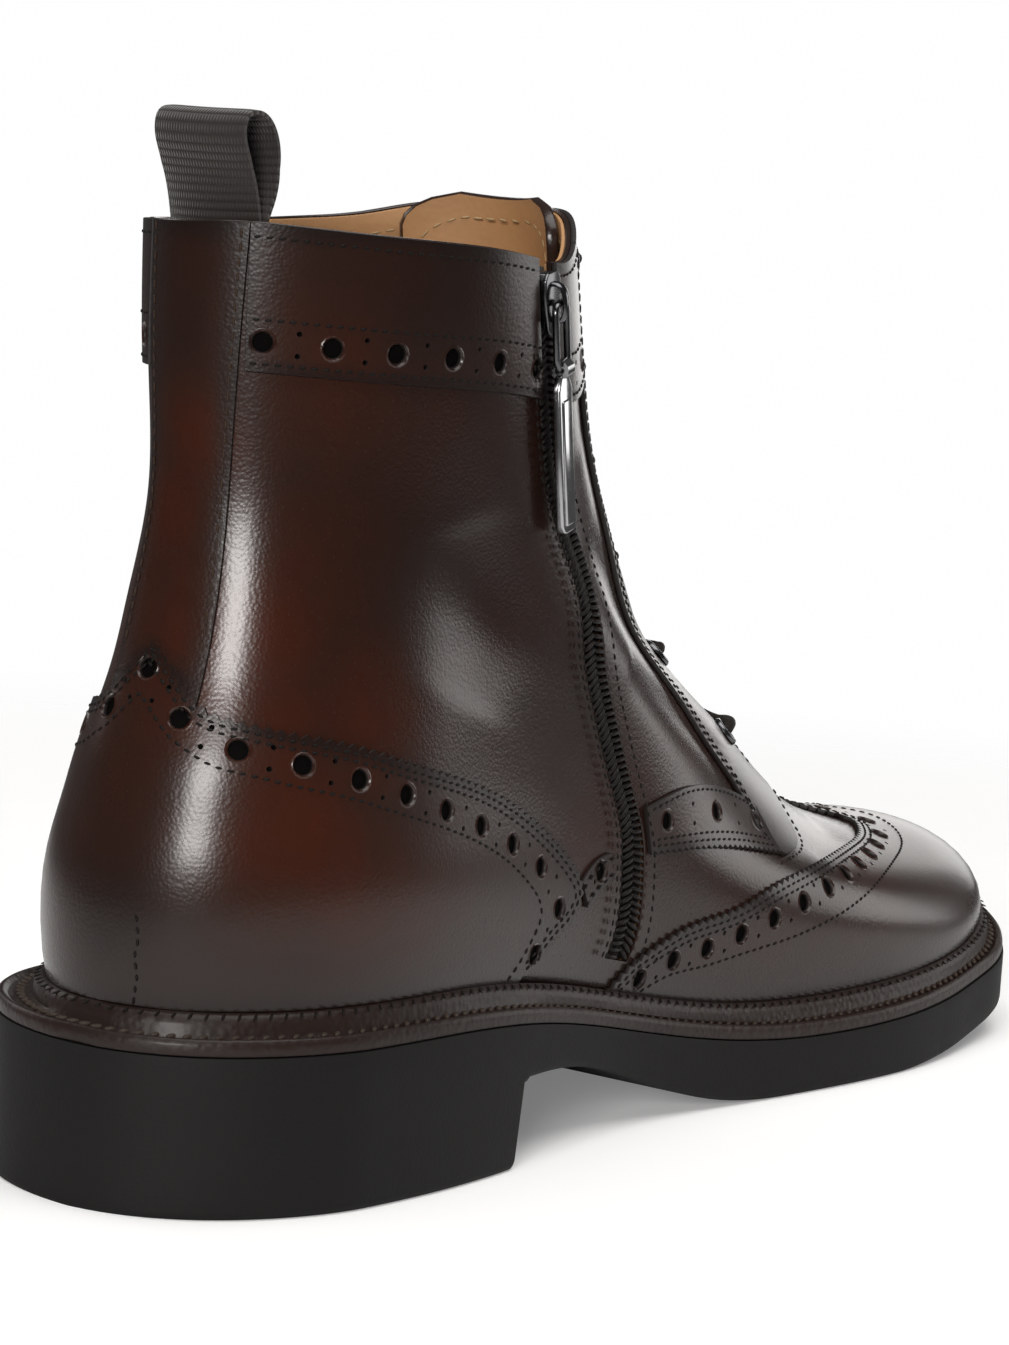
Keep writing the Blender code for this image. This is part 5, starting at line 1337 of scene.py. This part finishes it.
def buildWelt():
    turns = evenTurns(weltSizes["columns"])
    rim = soleEdge(turns, weltSizes["inset"])
    level = weltSizes["level"]
    top = basePoint(turns, level) + last["moved"] + baseNormal(turns, level) * weltSizes["gap"]
    foot = basePoint(turns, 0.0) + last["moved"] + baseNormal(turns, 0.0) * weltSizes["gap"]
    toward = top[:, :2] - rim
    toward /= np.linalg.norm(toward, axis=1, keepdims=True)
    bead = top[:, 2] - bedHeight(top[:, 0])
    lip, wide, channel = (weltSizes[name] for name in ("lip", "lipWidth", "channel"))
    profile = (
        (0.0002, 0.0003), (0.0, 0.3 * lip), (0.0001, 0.62 * lip), (0.25 * wide, 0.90 * lip),
        (0.6 * wide, lip), (1.0 * wide, 0.97 * lip), (1.35 * wide, 0.86 * lip), (1.7 * wide, channel),
    )
    rings = []
    for inset, height in profile:
        spot = rim + toward * inset
        rings.append(np.c_[spot, bedHeight(spot[:, 0]) + height])
    for back, share in ((1.05, 0.50), (0.98, 0.72), (0.75, 0.92), (0.45, 1.0), (0.15, 0.98)):
        spot = top[:, :2] - toward * weltSizes["bead"] * back
        height = np.maximum(bead * share, channel * (1.0 if back > 1 else 1.05))
        rings.append(np.c_[spot, bedHeight(spot[:, 0]) + height])
    low = np.c_[foot[:, :2], bedHeight(foot[:, 0]) + 0.0003]
    rings += [top - (0, 0, 0.0004), (top + low) / 2, low]
    grid = np.stack(rings, 1) - last["moved"]
    piece = ringMesh("storm_welt", grid, weltLeather)
    points = len(piece.data.vertices)
    addValues(piece, "warm", np.full(points, 0.06))
    addValues(piece, "rim", np.full(points, 0.60))
    place(piece, "welt_leather", "welt")
    closed = np.arange(len(turns) + 1) % len(turns)
    channelPlace = (grid[:, 7] + grid[:, 8]) / 2
    outward = unit(np.cross(np.gradient(channelPlace, axis=0), np.c_[toward, np.zeros(len(turns))]))
    outward *= np.sign(outward[:, 2:])
    seat = channelPlace + outward * 0.0001
    repeated(
        "welt_stitches", [(seat[closed], outward[closed])], "welt_leather", Pitch=weltSizes["stitchPitch"],
        Size=(0.0028, 0.0011, 0.0010), Angle=0.75, Wobble=0.03, Material=weltThread,
    )
    ridge = grid[:, 10]
    beadUp = unit(np.c_[-toward * 0.4, np.full(len(turns), 0.9)])
    beadRow = ((ridge + beadUp * 0.0001)[closed], beadUp[closed])
    repeated(
        "welt_bead_stitches", [beadRow], "welt_leather", Pitch=0.0030, Size=(0.0018, 0.0006, 0.0004), Angle=1.1,
        Wobble=0.05, Material=seamThread,
    )


buildWelt()
print("welt done")


# Rubber sole
soleSizes = {"bevel": 0.0016, "slices": 150, "heelRecess": 0.0006, "breastDrop": 0.0008}


def buildSole():
    steps = (1 - np.cos(np.linspace(0, np.pi, soleSizes["slices"]))) / 2 * last["soleLength"]
    front, back = last["breastX"], last["breastX"] - last["breastSlope"]
    fixed = [back - 0.0006, back, front, front + 0.0012]
    slices = np.array(sorted([x for x in steps if min(abs(x - f) for f in fixed) > 0.0012] + fixed))
    rings = []
    for x in slices:
        inner, outer = (max(float(side), 1e-5) for side in soleHalves(x))
        top = float(bedHeight(x))
        if x <= back + 1e-9:
            low = 0.0 if x < back - 1e-5 else soleSizes["heelRecess"]
        else:
            low = float(treadHeight(x)) - (soleSizes["breastDrop"] if x < front + 1e-5 else 0)
        edge = min(soleSizes["bevel"], (inner + outer) / 5)
        ring = [(x, -inner + 0.1 * edge, top), (x, -inner, top - 0.4 * edge)]
        ring += [(x, -inner, top - (top - low - edge) * share) for share in (0.25, 0.5, 0.75)]
        for angle in (0, 22.5, 45, 67.5, 90):
            a = math.radians(angle)
            ring.append((x, -inner + edge * (1 - math.cos(a)), low + edge * (1 - math.sin(a))))
        middle, span = (outer - inner) / 2, outer + inner - 2 * edge
        ring += [(x, middle + span * share, low) for share in (-0.25, 0.0, 0.25)]
        for angle in (90, 67.5, 45, 22.5, 0):
            a = math.radians(angle)
            ring.append((x, outer - edge * (1 - math.cos(a)), low + edge * (1 - math.sin(a))))
        ring += [(x, outer, top - (top - low - edge) * share) for share in (0.75, 0.5, 0.25)]
        ring += [(x, outer, top - 0.4 * edge), (x, outer - 0.1 * edge, top)]
        rings.append(ring)
    piece = ringMesh("rubber_sole", np.array(rings) - last["moved"], rubber, False, 40.0)
    place(piece, "rubber_sole", "outsole")


buildSole()
print("sole done")

# Zip: woven tape, coil, slider and its swinging pull
zipSizes = {
    "tapeTop": -0.0022, "tapeWidth": 0.024, "toothPitch": 0.0015, "toothLength": 0.0044, "chainHalf": 0.0021,
    "sliderLevel": 0.885, "sliderLength": 0.012, "sliderWidth": 0.0074, "sliderTop": 0.0020,
    "wire": 0.0007, "clearance": 0.0003, "linkWidth": 0.0066, "linkLength": 0.0126,
    "tabLength": 0.0320, "tabWidth": 0.0062, "tabThick": 0.0020,
}


def weaveMap(piece, used, columns, rows, order=(0, 1), scale=(1.0, 1.0)):  # where the threads run
    across = np.tile(np.repeat(np.linspace(0, 1, columns), rows), 2)
    along = np.tile(np.linspace(0, 1, rows), 2 * columns)
    shares = np.c_[across, along][:, order] * scale
    layer = piece.data.uv_layers.new(name="weave")
    for loop in piece.data.loops:
        layer.data[loop.index].uv = shares[used[loop.vertex_index]]


def zipRibbon(name, low, high, width, below, above, material, slot, node, rows=160, columns=11):
    levels = np.linspace(low, high, rows)
    across = np.linspace(-1, 1, columns)
    turns = np.array([zipTurn(levels, width / 2 * a) for a in across])
    grid = np.tile(levels, (columns, 1))
    uv = np.stack([turns, grid], -1).reshape(-1, 2)
    outside = surfacePoint(uv[:, 0], uv[:, 1], above)
    inside = surfacePoint(uv[:, 0], uv[:, 1], below)
    vertices, faces, _ = closeSkins(outside, inside, gridRings(columns, rows))
    piece, used = makeMesh(name, vertices, faces, material)
    weaveMap(piece, used, columns, rows)
    return place(piece, slot, node)


topOfZip = float(collarLevel(0.29)) - 0.004
zipRibbon(
    "zip_tape_woven", zipEndLevel - 0.012, topOfZip, zipSizes["tapeWidth"], zipSizes["tapeTop"] - 0.0006,
    zipSizes["tapeTop"] + 0.0002, zipWeave, "zip_fabric", "zip_tape",
)
chainTop = zipSizes["sliderLevel"] - 0.028
levels = np.linspace(zipEndLevel + 0.003, chainTop, 300)
for word, side, shift, nodes in (("left", -1, 0.0, ["zip_chain"]), ("right", 1, 0.0040, [])):
    row = np.c_[zipTurn(levels, side * zipSizes["chainHalf"]), levels + shift]
    repeated(
        "zip_coil_" + word, [row], "zip_coil", -0.0001, nodes=nodes, Pitch=zipSizes["toothPitch"],
        Size=(0.00115, zipSizes["toothLength"], 0.0016), Angle=-0.34 * side, Wobble=0.0, Material=zipCoil,
    )
tapeRows = [np.c_[zipTurn(levels, side * 0.0034), levels] for side in (-1, 1)]
repeated(
    "zip_tape_stitches", tapeRows, "zip_fabric", -0.0018, Pitch=0.0013, Size=(0.0011, 0.0005, 0.0004),
    Angle=0.0, Wobble=0.0, Material=seamThread,
)


def sliderFrame():
    level = zipSizes["sliderLevel"]
    spot = basePoint(zipTurnAt(level)[..., 0], level)
    low = level - 0.01
    down = unit(basePoint(zipTurnAt(low)[..., 0], low) - spot)
    out = baseNormal(zipTurnAt(level)[..., 0], level)
    across = unit(np.cross(down, out))
    out = np.cross(across, down)
    turned = np.eye(4)
    turned[:3, 0], turned[:3, 1], turned[:3, 2], turned[:3, 3] = across, down, out, spot
    return Matrix(turned.tolist())


zipFrame = sliderFrame()
pivotHeight = zipSizes["sliderTop"] + zipSizes["clearance"] + zipSizes["wire"] + 0.0003


# A flat plate from an outline in x and y, with rounded edges
def plate(outline, low, high, bevel, segments=3):
    shape = bmesh.new()
    ring = [shape.verts.new((x, y, low)) for x, y in outline]
    base = shape.faces.new(ring)
    made = bmesh.ops.extrude_face_region(shape, geom=[base])["geom"]
    lifted = [v for v in made if isinstance(v, bmesh.types.BMVert)]
    bmesh.ops.translate(shape, vec=(0, 0, high - low), verts=lifted)
    bmesh.ops.recalc_face_normals(shape, faces=shape.faces)
    sharp = [e for e in shape.edges if len(e.link_faces) == 2 and e.calc_face_angle(0) > 0.6]
    bmesh.ops.bevel(shape, geom=sharp, offset=bevel, segments=segments, affect="EDGES", profile=0.5)
    return shape


def fromShapes(name, shapes, material, matrix=None):
    mesh = bpy.data.meshes.new(name)
    whole = bmesh.new()
    for shape in shapes:
        part = bpy.data.meshes.new("part")
        bmesh.ops.recalc_face_normals(shape, faces=shape.faces)
        shape.to_mesh(part)
        shape.free()
        whole.from_mesh(part)
        bpy.data.meshes.remove(part)
    if matrix is not None:
        bmesh.ops.transform(whole, matrix=matrix, verts=whole.verts)
    whole.to_mesh(mesh)
    whole.free()
    mesh.materials.append(material)
    mesh.shade_smooth()
    mesh.set_sharp_from_angle(angle=math.radians(35))
    piece = bpy.data.objects.new(name, mesh)
    bpy.context.scene.collection.objects.link(piece)
    return piece


# A round or flattened tube through points, as a bmesh
def tubeShape(points, radius, sides=12, closed=False, flat=1.0, twist=None):
    centres = [Vector(p) for p in points]
    count = len(centres)
    shape = bmesh.new()
    rings = []
    side = None
    for i, spot in enumerate(centres):
        if closed:
            heading = centres[(i + 1) % count] - centres[i - 1]
        else:
            heading = centres[min(i + 1, count - 1)] - centres[max(i - 1, 0)]
        heading.normalize()
        if side is None:
            side = Vector(twist) if twist else heading.orthogonal()
        side = (side - heading * side.dot(heading)).normalized()
        other = heading.cross(side)
        rings.append([
            shape.verts.new(spot + side * math.cos(a) * radius + other * math.sin(a) * radius * flat)
            for a in (2 * math.pi * k / sides for k in range(sides))
        ])
    for i in range(count if closed else count - 1):
        following = rings[(i + 1) % count]
        for k in range(sides):
            after = (k + 1) % sides
            shape.faces.new((rings[i][k], rings[i][after], following[after], following[k]))
    if not closed:
        shape.faces.new(rings[0][::-1])
        shape.faces.new(rings[-1])
    return shape


def buildSlider():
    half, reach = zipSizes["sliderWidth"] / 2, zipSizes["sliderLength"] / 2
    flank = ((0.55, -1.0), (0.92, -0.8), (1.0, -0.35), (0.92, 0.2), (0.72, 0.8), (0.55, 1.0))
    outline = [(x * half, y * reach) for x, y in flank + tuple((-x, y) for x, y in flank[::-1])]
    top = plate(outline, zipSizes["sliderTop"] - 0.0009, zipSizes["sliderTop"], 0.00030)
    wedge = plate([(x * 0.8, y * 0.96) for x, y in outline], -0.0020, zipSizes["sliderTop"] - 0.0007, 0.0002)
    crown = pivotHeight + zipSizes["wire"] + 0.0011
    rise = crown - zipSizes["sliderTop"]
    arch = []
    for k in range(15):
        a = math.pi * k / 14
        height = zipSizes["sliderTop"] - 0.0006 + rise * math.sin(a) ** 0.55
        arch.append((0, -0.0037 * math.cos(a), height))
    bridge = tubeShape(arch, 0.0012, 12, flat=0.42, twist=(1, 0, 0))
    piece = fromShapes("zip_slider_body", [top, wedge, bridge], gunmetal, zipFrame)
    place(piece, "zip_metal", "zip_slider")


def buildLink():
    half = zipSizes["linkWidth"] / 2 - zipSizes["wire"]
    length = zipSizes["linkLength"]
    points = []
    for sideX, end, start in ((1, 1, 0), (-1, 1, 90), (-1, 0, 180), (1, 0, 270)):
        for k in range(7):
            a = math.radians(start + 15 * k)
            corner = 0.8 * half
            y = (length if end else 0.0) + (-corner if end else corner) + corner * math.sin(a)
            points.append((sideX * (half - corner) + corner * math.cos(a), y, pivotHeight))
    ring = tubeShape(points, zipSizes["wire"], 12, closed=True, flat=1.0)
    piece = fromShapes("zip_link_ring", [ring], gunmetal, zipFrame)
    place(piece, "zip_metal", "zip_pull_link", body="zip_link")


def buildTab():
    length, wide, thick = zipSizes["linkLength"], zipSizes["tabWidth"] / 2, zipSizes["tabThick"] / 2
    end = length + zipSizes["tabLength"]
    inner = zipSizes["linkWidth"] / 2 - 2 * zipSizes["wire"] - zipSizes["clearance"]
    bore = zipSizes["wire"] + zipSizes["clearance"]
    eye = bore + 0.0009
    ring = []
    for k in range(17):
        a = math.radians(30 + 300 * k / 16)
        ring.append((math.cos(a), math.sin(a)))
    loopShape = bmesh.new()
    skins = []
    for x in (-inner, inner):
        for radius in (bore, eye):
            spots = [(x, length + radius * c, pivotHeight + radius * s) for c, s in ring]
            skins.append([loopShape.verts.new(spot) for spot in spots])
    for a, b in ((0, 1), (1, 3), (3, 2), (2, 0)):
        for k in range(16):
            loopShape.faces.new((skins[a][k], skins[a][k + 1], skins[b][k + 1], skins[b][k]))
    for k in (0, 16):
        loopShape.faces.new((skins[0][k], skins[1][k], skins[3][k], skins[2][k]))
    neck = length + bore * 0.9 + 0.0002
    outline = [(-inner, neck), (inner, neck), (wide, length + 0.0040)]
    corner = 0.0016
    for sideX, start in ((1, 0), (-1, 90)):
        for k in range(7):
            a = math.radians(start + 15 * k)
            x = sideX * (wide - corner) + corner * math.cos(a)
            outline.append((x, end - corner + corner * math.sin(a)))
    outline.append((-wide, length + 0.0040))
    bar = plate(outline, pivotHeight - thick, pivotHeight + thick * 0.6, 0.00035)
    left, right, near, far = -wide + 0.0012, wide - 0.0010, length + 0.0060, end - 0.0016
    corners = ((left, near), (right, near), (right, far), (left, far))
    panel = plate(corners, pivotHeight + thick * 0.3, pivotHeight + thick, 0.0003)
    piece = fromShapes("zip_tab_bar", [loopShape, bar, panel], brightMetal, zipFrame)
    place(piece, "zip_metal", "zip_pull_tab", body="zip_tab")


buildSlider()
buildLink()
buildTab()
print("zip done")

# Webbing loop at the back
loopSizes = {"width": 0.021, "thick": 0.0012, "height": 0.0205, "tuck": 0.012, "rest": 0.0035}


def buildLoop():
    rest, tall, tuck = loopSizes["rest"], loopSizes["height"] - loopSizes["thick"] / 2, loopSizes["tuck"]
    innerLeg = rest + loopSizes["thick"] + 0.0003
    route = np.array((
        (-rest, -tuck), (-rest, -0.5 * tuck), (-rest, 0.0), (-rest + 0.0002, 0.25 * tall),
        (-rest + 0.0016, 0.55 * tall), (-rest + 0.0036, 0.80 * tall), (-rest + 0.0030, 0.95 * tall),
        (-rest + 0.0004, tall), (-rest - 0.0030, 0.95 * tall), (-rest - 0.0060, 0.74 * tall),
        (-rest - 0.0064, 0.48 * tall), (-innerLeg - 0.0024, 0.18 * tall), (-innerLeg - 0.0003, 0.0),
        (-innerLeg, -0.5 * tuck), (-innerLeg, -tuck),
    ))
    path = smoothPath(route, 90)
    heading = unit(np.gradient(path, axis=0))
    sideways = np.c_[-heading[:, 1], heading[:, 0]] * loopSizes["thick"] / 2
    level = float(collarLevel(0.0))
    half = turnSpan(0.0, level, loopSizes["width"] / 2)
    turns = np.linspace(-half, half, 15)
    rim = basePoint(turns, level)
    hollow = rim[:, 0] - basePoint(0.0, level)[0]
    edge = 1 - 0.35 * np.abs(np.linspace(-1, 1, 15)) ** 8

    def skinAt(shift):
        fold = path[None] + shift[None] * edge[:, None, None]
        curved = 1 - 0.75 * np.clip(fold[..., 1] / (0.5 * tall), 0, 1)
        x = rim[:, :1] - hollow[:, None] * (1 - curved) - fold[..., 0]
        y = np.broadcast_to(rim[:, 1:2], x.shape)
        return np.stack([x, y, rim[:, 2:] + fold[..., 1]], -1).reshape(-1, 3)

    rings = gridRings(len(turns), len(path))
    vertices, faces, _ = closeSkins(skinAt(-sideways), skinAt(sideways), rings)
    piece, used = makeMesh("pull_loop_webbing", vertices, faces, loopWebbing)
    weaveMap(piece, used, len(turns), len(path), (1, 0), (1.5, 0.35))
    outwards(piece)
    place(piece, "webbing", "pull_loop")


buildLoop()
print("webbing loop done")

# Tongue, insole, eyelets and lace
frontSizes = {
    "tongueHalf": 0.023, "tongueDepth": 0.0026, "tongueThick": 0.0022, "eyelets": 6, "eyeletInset": 0.0085,
    "eyeletRadius": 0.0034, "holeRadius": 0.0022, "laceRadius": 0.0012,
}


def buildTongue():
    footLevel = throatLevel - 0.030
    levels = footLevel + (0.999 - footLevel) * np.linspace(0, 1, 70)
    across = np.linspace(-1, 1, 25)
    corner = np.sqrt(1 - np.clip((levels - 0.955) / 0.050, 0, 1) ** 2)
    half = frontSizes["tongueHalf"] * (0.72 + 0.28 * ease((levels - 0.3) / 0.4)) * corner
    turns = 0.5 + turnSpan(0.5 + 0 * levels, levels, half)[None, :] * across[:, None]
    uv = np.stack([turns, np.tile(levels, (25, 1))], -1).reshape(-1, 2)
    high = -frontSizes["tongueDepth"]
    outside = surfacePoint(uv[:, 0], uv[:, 1], high)
    inside = surfacePoint(uv[:, 0], uv[:, 1], high - frontSizes["tongueThick"])
    vertices, faces, topCount = closeSkins(outside, inside, gridRings(len(across), len(levels)), 0.0003)
    piece, used = makeMesh("tongue_leather", vertices, faces, upperLeather)
    piece.data.materials.append(tanLining)
    for polygon in piece.data.polygons[topCount: 2 * topCount]:
        polygon.material_index = 1
    paint(piece, uv, len(vertices) // len(uv), used)
    place(piece, "upper_leather", "tongue")


buildTongue()
tongueRow = []
for side in (-1, 1):
    levels = np.linspace(0.60, 0.978, 60)
    corner = np.sqrt(1 - np.clip((levels - 0.935) / 0.050, 0, 1) ** 2)
    turns = 0.5 + side * turnSpan(0.5 + 0 * levels, levels, (frontSizes["tongueHalf"] - 0.0024) * corner)
    tongueRow.append(np.c_[turns, levels])
tongueRow = np.r_[tongueRow[0], tongueRow[1][::-1]]
repeated("tongue_stitches", [insideRow(tongueRow, 0.0049)], "lining_leather", **liningStitch)
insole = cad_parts["insole"]
insole.data.materials.clear()
insole.data.materials.append(tanLining)


def eyeletLevels():
    return np.linspace(throatLevel + 0.075, 0.940, frontSizes["eyelets"])


def buildEyelets():
    for side, word in ((-1, "inner"), (1, "outer")):
        for number, level in enumerate(eyeletLevels(), 1):
            turn = throatTurn(np.array(level), side, frontSizes["eyeletInset"])
            spot = basePoint(turn, level) + baseNormal(turn, level) * 0.0012
            turned = Vector(baseNormal(turn, level)).to_track_quat("Z", "Y").to_matrix().to_4x4()
            shape = bmesh.new()
            profile = []
            for k in range(9):
                a = math.pi * k / 8
                middle = (frontSizes["eyeletRadius"] + frontSizes["holeRadius"]) / 2
                wide = (frontSizes["eyeletRadius"] - frontSizes["holeRadius"]) / 2
                profile.append((middle + wide * math.cos(a), 0.0009 * math.sin(a)))
            profile.append((frontSizes["holeRadius"], -0.0010))
            profile.append((frontSizes["holeRadius"] + 0.0004, -0.0010))
            rings = []
            for k in range(24):
                a = math.tau * k / 24
                rings.append([shape.verts.new((r * math.cos(a), r * math.sin(a), h)) for r, h in profile])
            for k in range(24):
                here, following = rings[k], rings[(k + 1) % 24]
                for j in range(len(profile)):
                    after = (j + 1) % len(profile)
                    shape.faces.new((here[j], following[j], following[after], here[after]))
            name = f"eyelet_{word}_{number}"
            piece = fromShapes(name + "_ring", [shape], gunmetal, Matrix.Translation(Vector(spot)) @ turned)
            place(piece, "eyelet_metal", name)


def buildLace():
    levels = eyeletLevels()
    inset, radius = frontSizes["eyeletInset"], frontSizes["laceRadius"]

    def spot(level, side, out, beyond=0.0):
        turn = throatTurn(np.array(level), side, inset + beyond)
        return basePoint(turn, level) + baseNormal(turn, level) * out

    # One run of lace from an eyelet across the throat to the next eyelet up
    def hook(level, side):  # from under the facing, up through the eyelet and out of it
        route = ((-0.0022, 0.0006), (0.0006, 0.0), (0.0026, -0.0016))
        return [spot(level, side, out, beyond) for out, beyond in route]

    def crossing(low, high, side, lift):
        middle = (low + high) / 2
        run = hook(low, side)
        for share in (-0.55, -0.25, 0.0, 0.25, 0.55):
            level = middle + (high - low) * share * 0.75
            gap = float(throatGapAt(np.array(level))[..., 0])
            turn = 0.5 - side * turnSpan(0.5, level, (gap + inset) * share)
            out = 0.0006 + lift * (1 - abs(share)) + 0.0022 * abs(share)
            run.append(basePoint(turn, level) + baseNormal(turn, level) * out)
        run += hook(high, -side)[::-1]
        return smoothPath(run, 60)

    shapes = []
    for low, high in zip(levels[:-1], levels[1:]):
        for side, lift in ((-1, -0.0010), (1, 0.0014)):
            shapes.append(tubeShape(crossing(low, high, side, lift), radius, 12))
    middle = basePoint(0.5, levels[0]) + baseNormal(0.5, levels[0]) * 0.0012
    bar = hook(levels[0], -1) + [middle] + hook(levels[0], 1)[::-1]
    shapes.append(tubeShape(smoothPath(bar, 40), radius, 12))
    piece = fromShapes("lace_cord_crossings", shapes, laceCord)
    place(piece, "lace_cord", "lace_crossings")


buildEyelets()
buildLace()
print("tongue, eyelets and lace done")

# Camera, light and floor
cameraSizes = {
    "yaw": -55.61, "pitch": 7.79, "roll": 3.82, "distance": 0.8433, "target": (0.140, 0.0, 0.080),
    "focalPixels": 4072.8, "photo": (1009, 1345), "middleShift": (31.6, 40.3),
}


def addCamera():
    yaw, pitch, roll = (math.radians(cameraSizes[name]) for name in ("yaw", "pitch", "roll"))
    back = Vector((math.sin(yaw) * math.cos(pitch), -math.cos(yaw) * math.cos(pitch), math.sin(pitch)))
    right = Vector((math.cos(yaw), math.sin(yaw), 0))
    up = back.cross(right)
    right, up = right * math.cos(roll) + up * math.sin(roll), up * math.cos(roll) - right * math.sin(roll)
    data = bpy.data.cameras.new("camera")
    camera = bpy.data.objects.new("camera", data)
    bpy.context.scene.collection.objects.link(camera)
    where = Vector(cameraSizes["target"]) + back * cameraSizes["distance"] - Vector(last["moved"])
    turned = Matrix((right, up, back)).transposed().to_4x4()
    camera.matrix_world = Matrix.Translation(where) @ turned
    tall = cameraSizes["photo"][1]
    data.sensor_width = 36.0
    data.lens = cameraSizes["focalPixels"] / tall * data.sensor_width
    data.shift_x = -cameraSizes["middleShift"][0] / tall
    data.shift_y = cameraSizes["middleShift"][1] / tall
    data.clip_start, data.clip_end = 0.05, 20
    bpy.context.scene.camera = camera


lights = {  # azimuth and elevation of its place, distance, size, power
    "beside the camera": (-66, 15, 1.5, (0.42, 0.32), 12.0),
    "high": (-20, 78, 1.5, (1.4, 1.4), 20.0),
    "toe side": (112, 8, 1.6, (0.9, 0.5), 2.8),
    "inner side": (62, 10, 1.6, (0.7, 0.6), 3.2),
    "outer side": (178, 25, 1.6, (0.8, 0.8), 3.5),
}


stage = {
    "tint": (1.0, 0.985, 0.965), "worldGrey": 0.93, "worldSeen": 0.99, "worldFill": 0.08, "floorHalf": 6,
    "floorDark": 0.94, "floorLight": 0.96, "fadeFrom": 0.30, "fadeTo": 0.62, "floorGlow": 0.18,
}


def grey(value):
    return (value, value, value, 1)


def addLights():
    for name, (azimuth, elevation, distance, size, power) in lights.items():
        a, e = math.radians(azimuth), math.radians(elevation)
        away = Vector((math.sin(a) * math.cos(e), -math.cos(a) * math.cos(e), math.sin(e)))
        where = away * distance + Vector((0, 0, 0.08))
        data = bpy.data.lights.new(name, "AREA")
        data.shape = "RECTANGLE"
        data.size, data.size_y = size
        data.energy = power
        data.color = stage["tint"]
        lamp = bpy.data.objects.new(name, data)
        lamp.location = where
        lamp.rotation_euler = (-away).to_track_quat("-Z", "Y").to_euler()
        bpy.context.scene.collection.objects.link(lamp)
    world = bpy.data.worlds.new("studio")
    bpy.context.scene.world = world
    world.use_nodes = True
    nodes = Nodes(world.node_tree)
    sky = world.node_tree.nodes["Background"]
    sky.inputs["Color"].default_value = grey(stage["worldGrey"])
    seen = nodes.add("ShaderNodeLightPath").outputs["Is Camera Ray"]
    nodes.link(nodes.math("MULTIPLY_ADD", seen, stage["worldSeen"], stage["worldFill"]), sky, "Strength")


def addFloor():
    mesh = bpy.data.meshes.new("floor")
    half = stage["floorHalf"]
    corners = [(-half, -half, 0), (half, -half, 0), (half, half, 0), (-half, half, 0)]
    mesh.from_pydata(corners, [], [(0, 1, 2, 3)])
    floor = bpy.data.objects.new("floor", mesh)
    bpy.context.scene.collection.objects.link(floor)
    material, nodes, shader = newMaterial("white studio floor")
    where = nodes.add("ShaderNodeTexCoord").outputs["Object"]
    cloud = nodes.add("ShaderNodeTexNoise", Vector=where, Scale=3.0)
    base = nodes.mix(cloud.outputs[0], grey(stage["floorDark"]), grey(stage["floorLight"]))
    nodes.link(base, shader, "Base Color")
    away = nodes.add("ShaderNodeVectorMath", {"operation": "LENGTH"})
    nodes.link(where, away, 0)
    fade = nodes.ramp(away.outputs["Value"], (stage["fadeFrom"], 1.0), (stage["fadeTo"], 0.0))
    nodes.link(fade, shader, "Alpha")
    seen = nodes.add("ShaderNodeLightPath").outputs["Is Camera Ray"]
    shader.inputs["Emission Color"].default_value = (1, 1, 1, 1)
    nodes.link(nodes.math("MULTIPLY", seen, stage["floorGlow"]), shader, "Emission Strength")
    shader.inputs["Roughness"].default_value = 0.9
    shader.inputs["Specular IOR Level"].default_value = 0.0
    mesh.materials.append(material)


addCamera()
addLights()
addFloor()
bpy.context.scene.view_settings.view_transform = "Standard"
print("camera, lights and floor done")
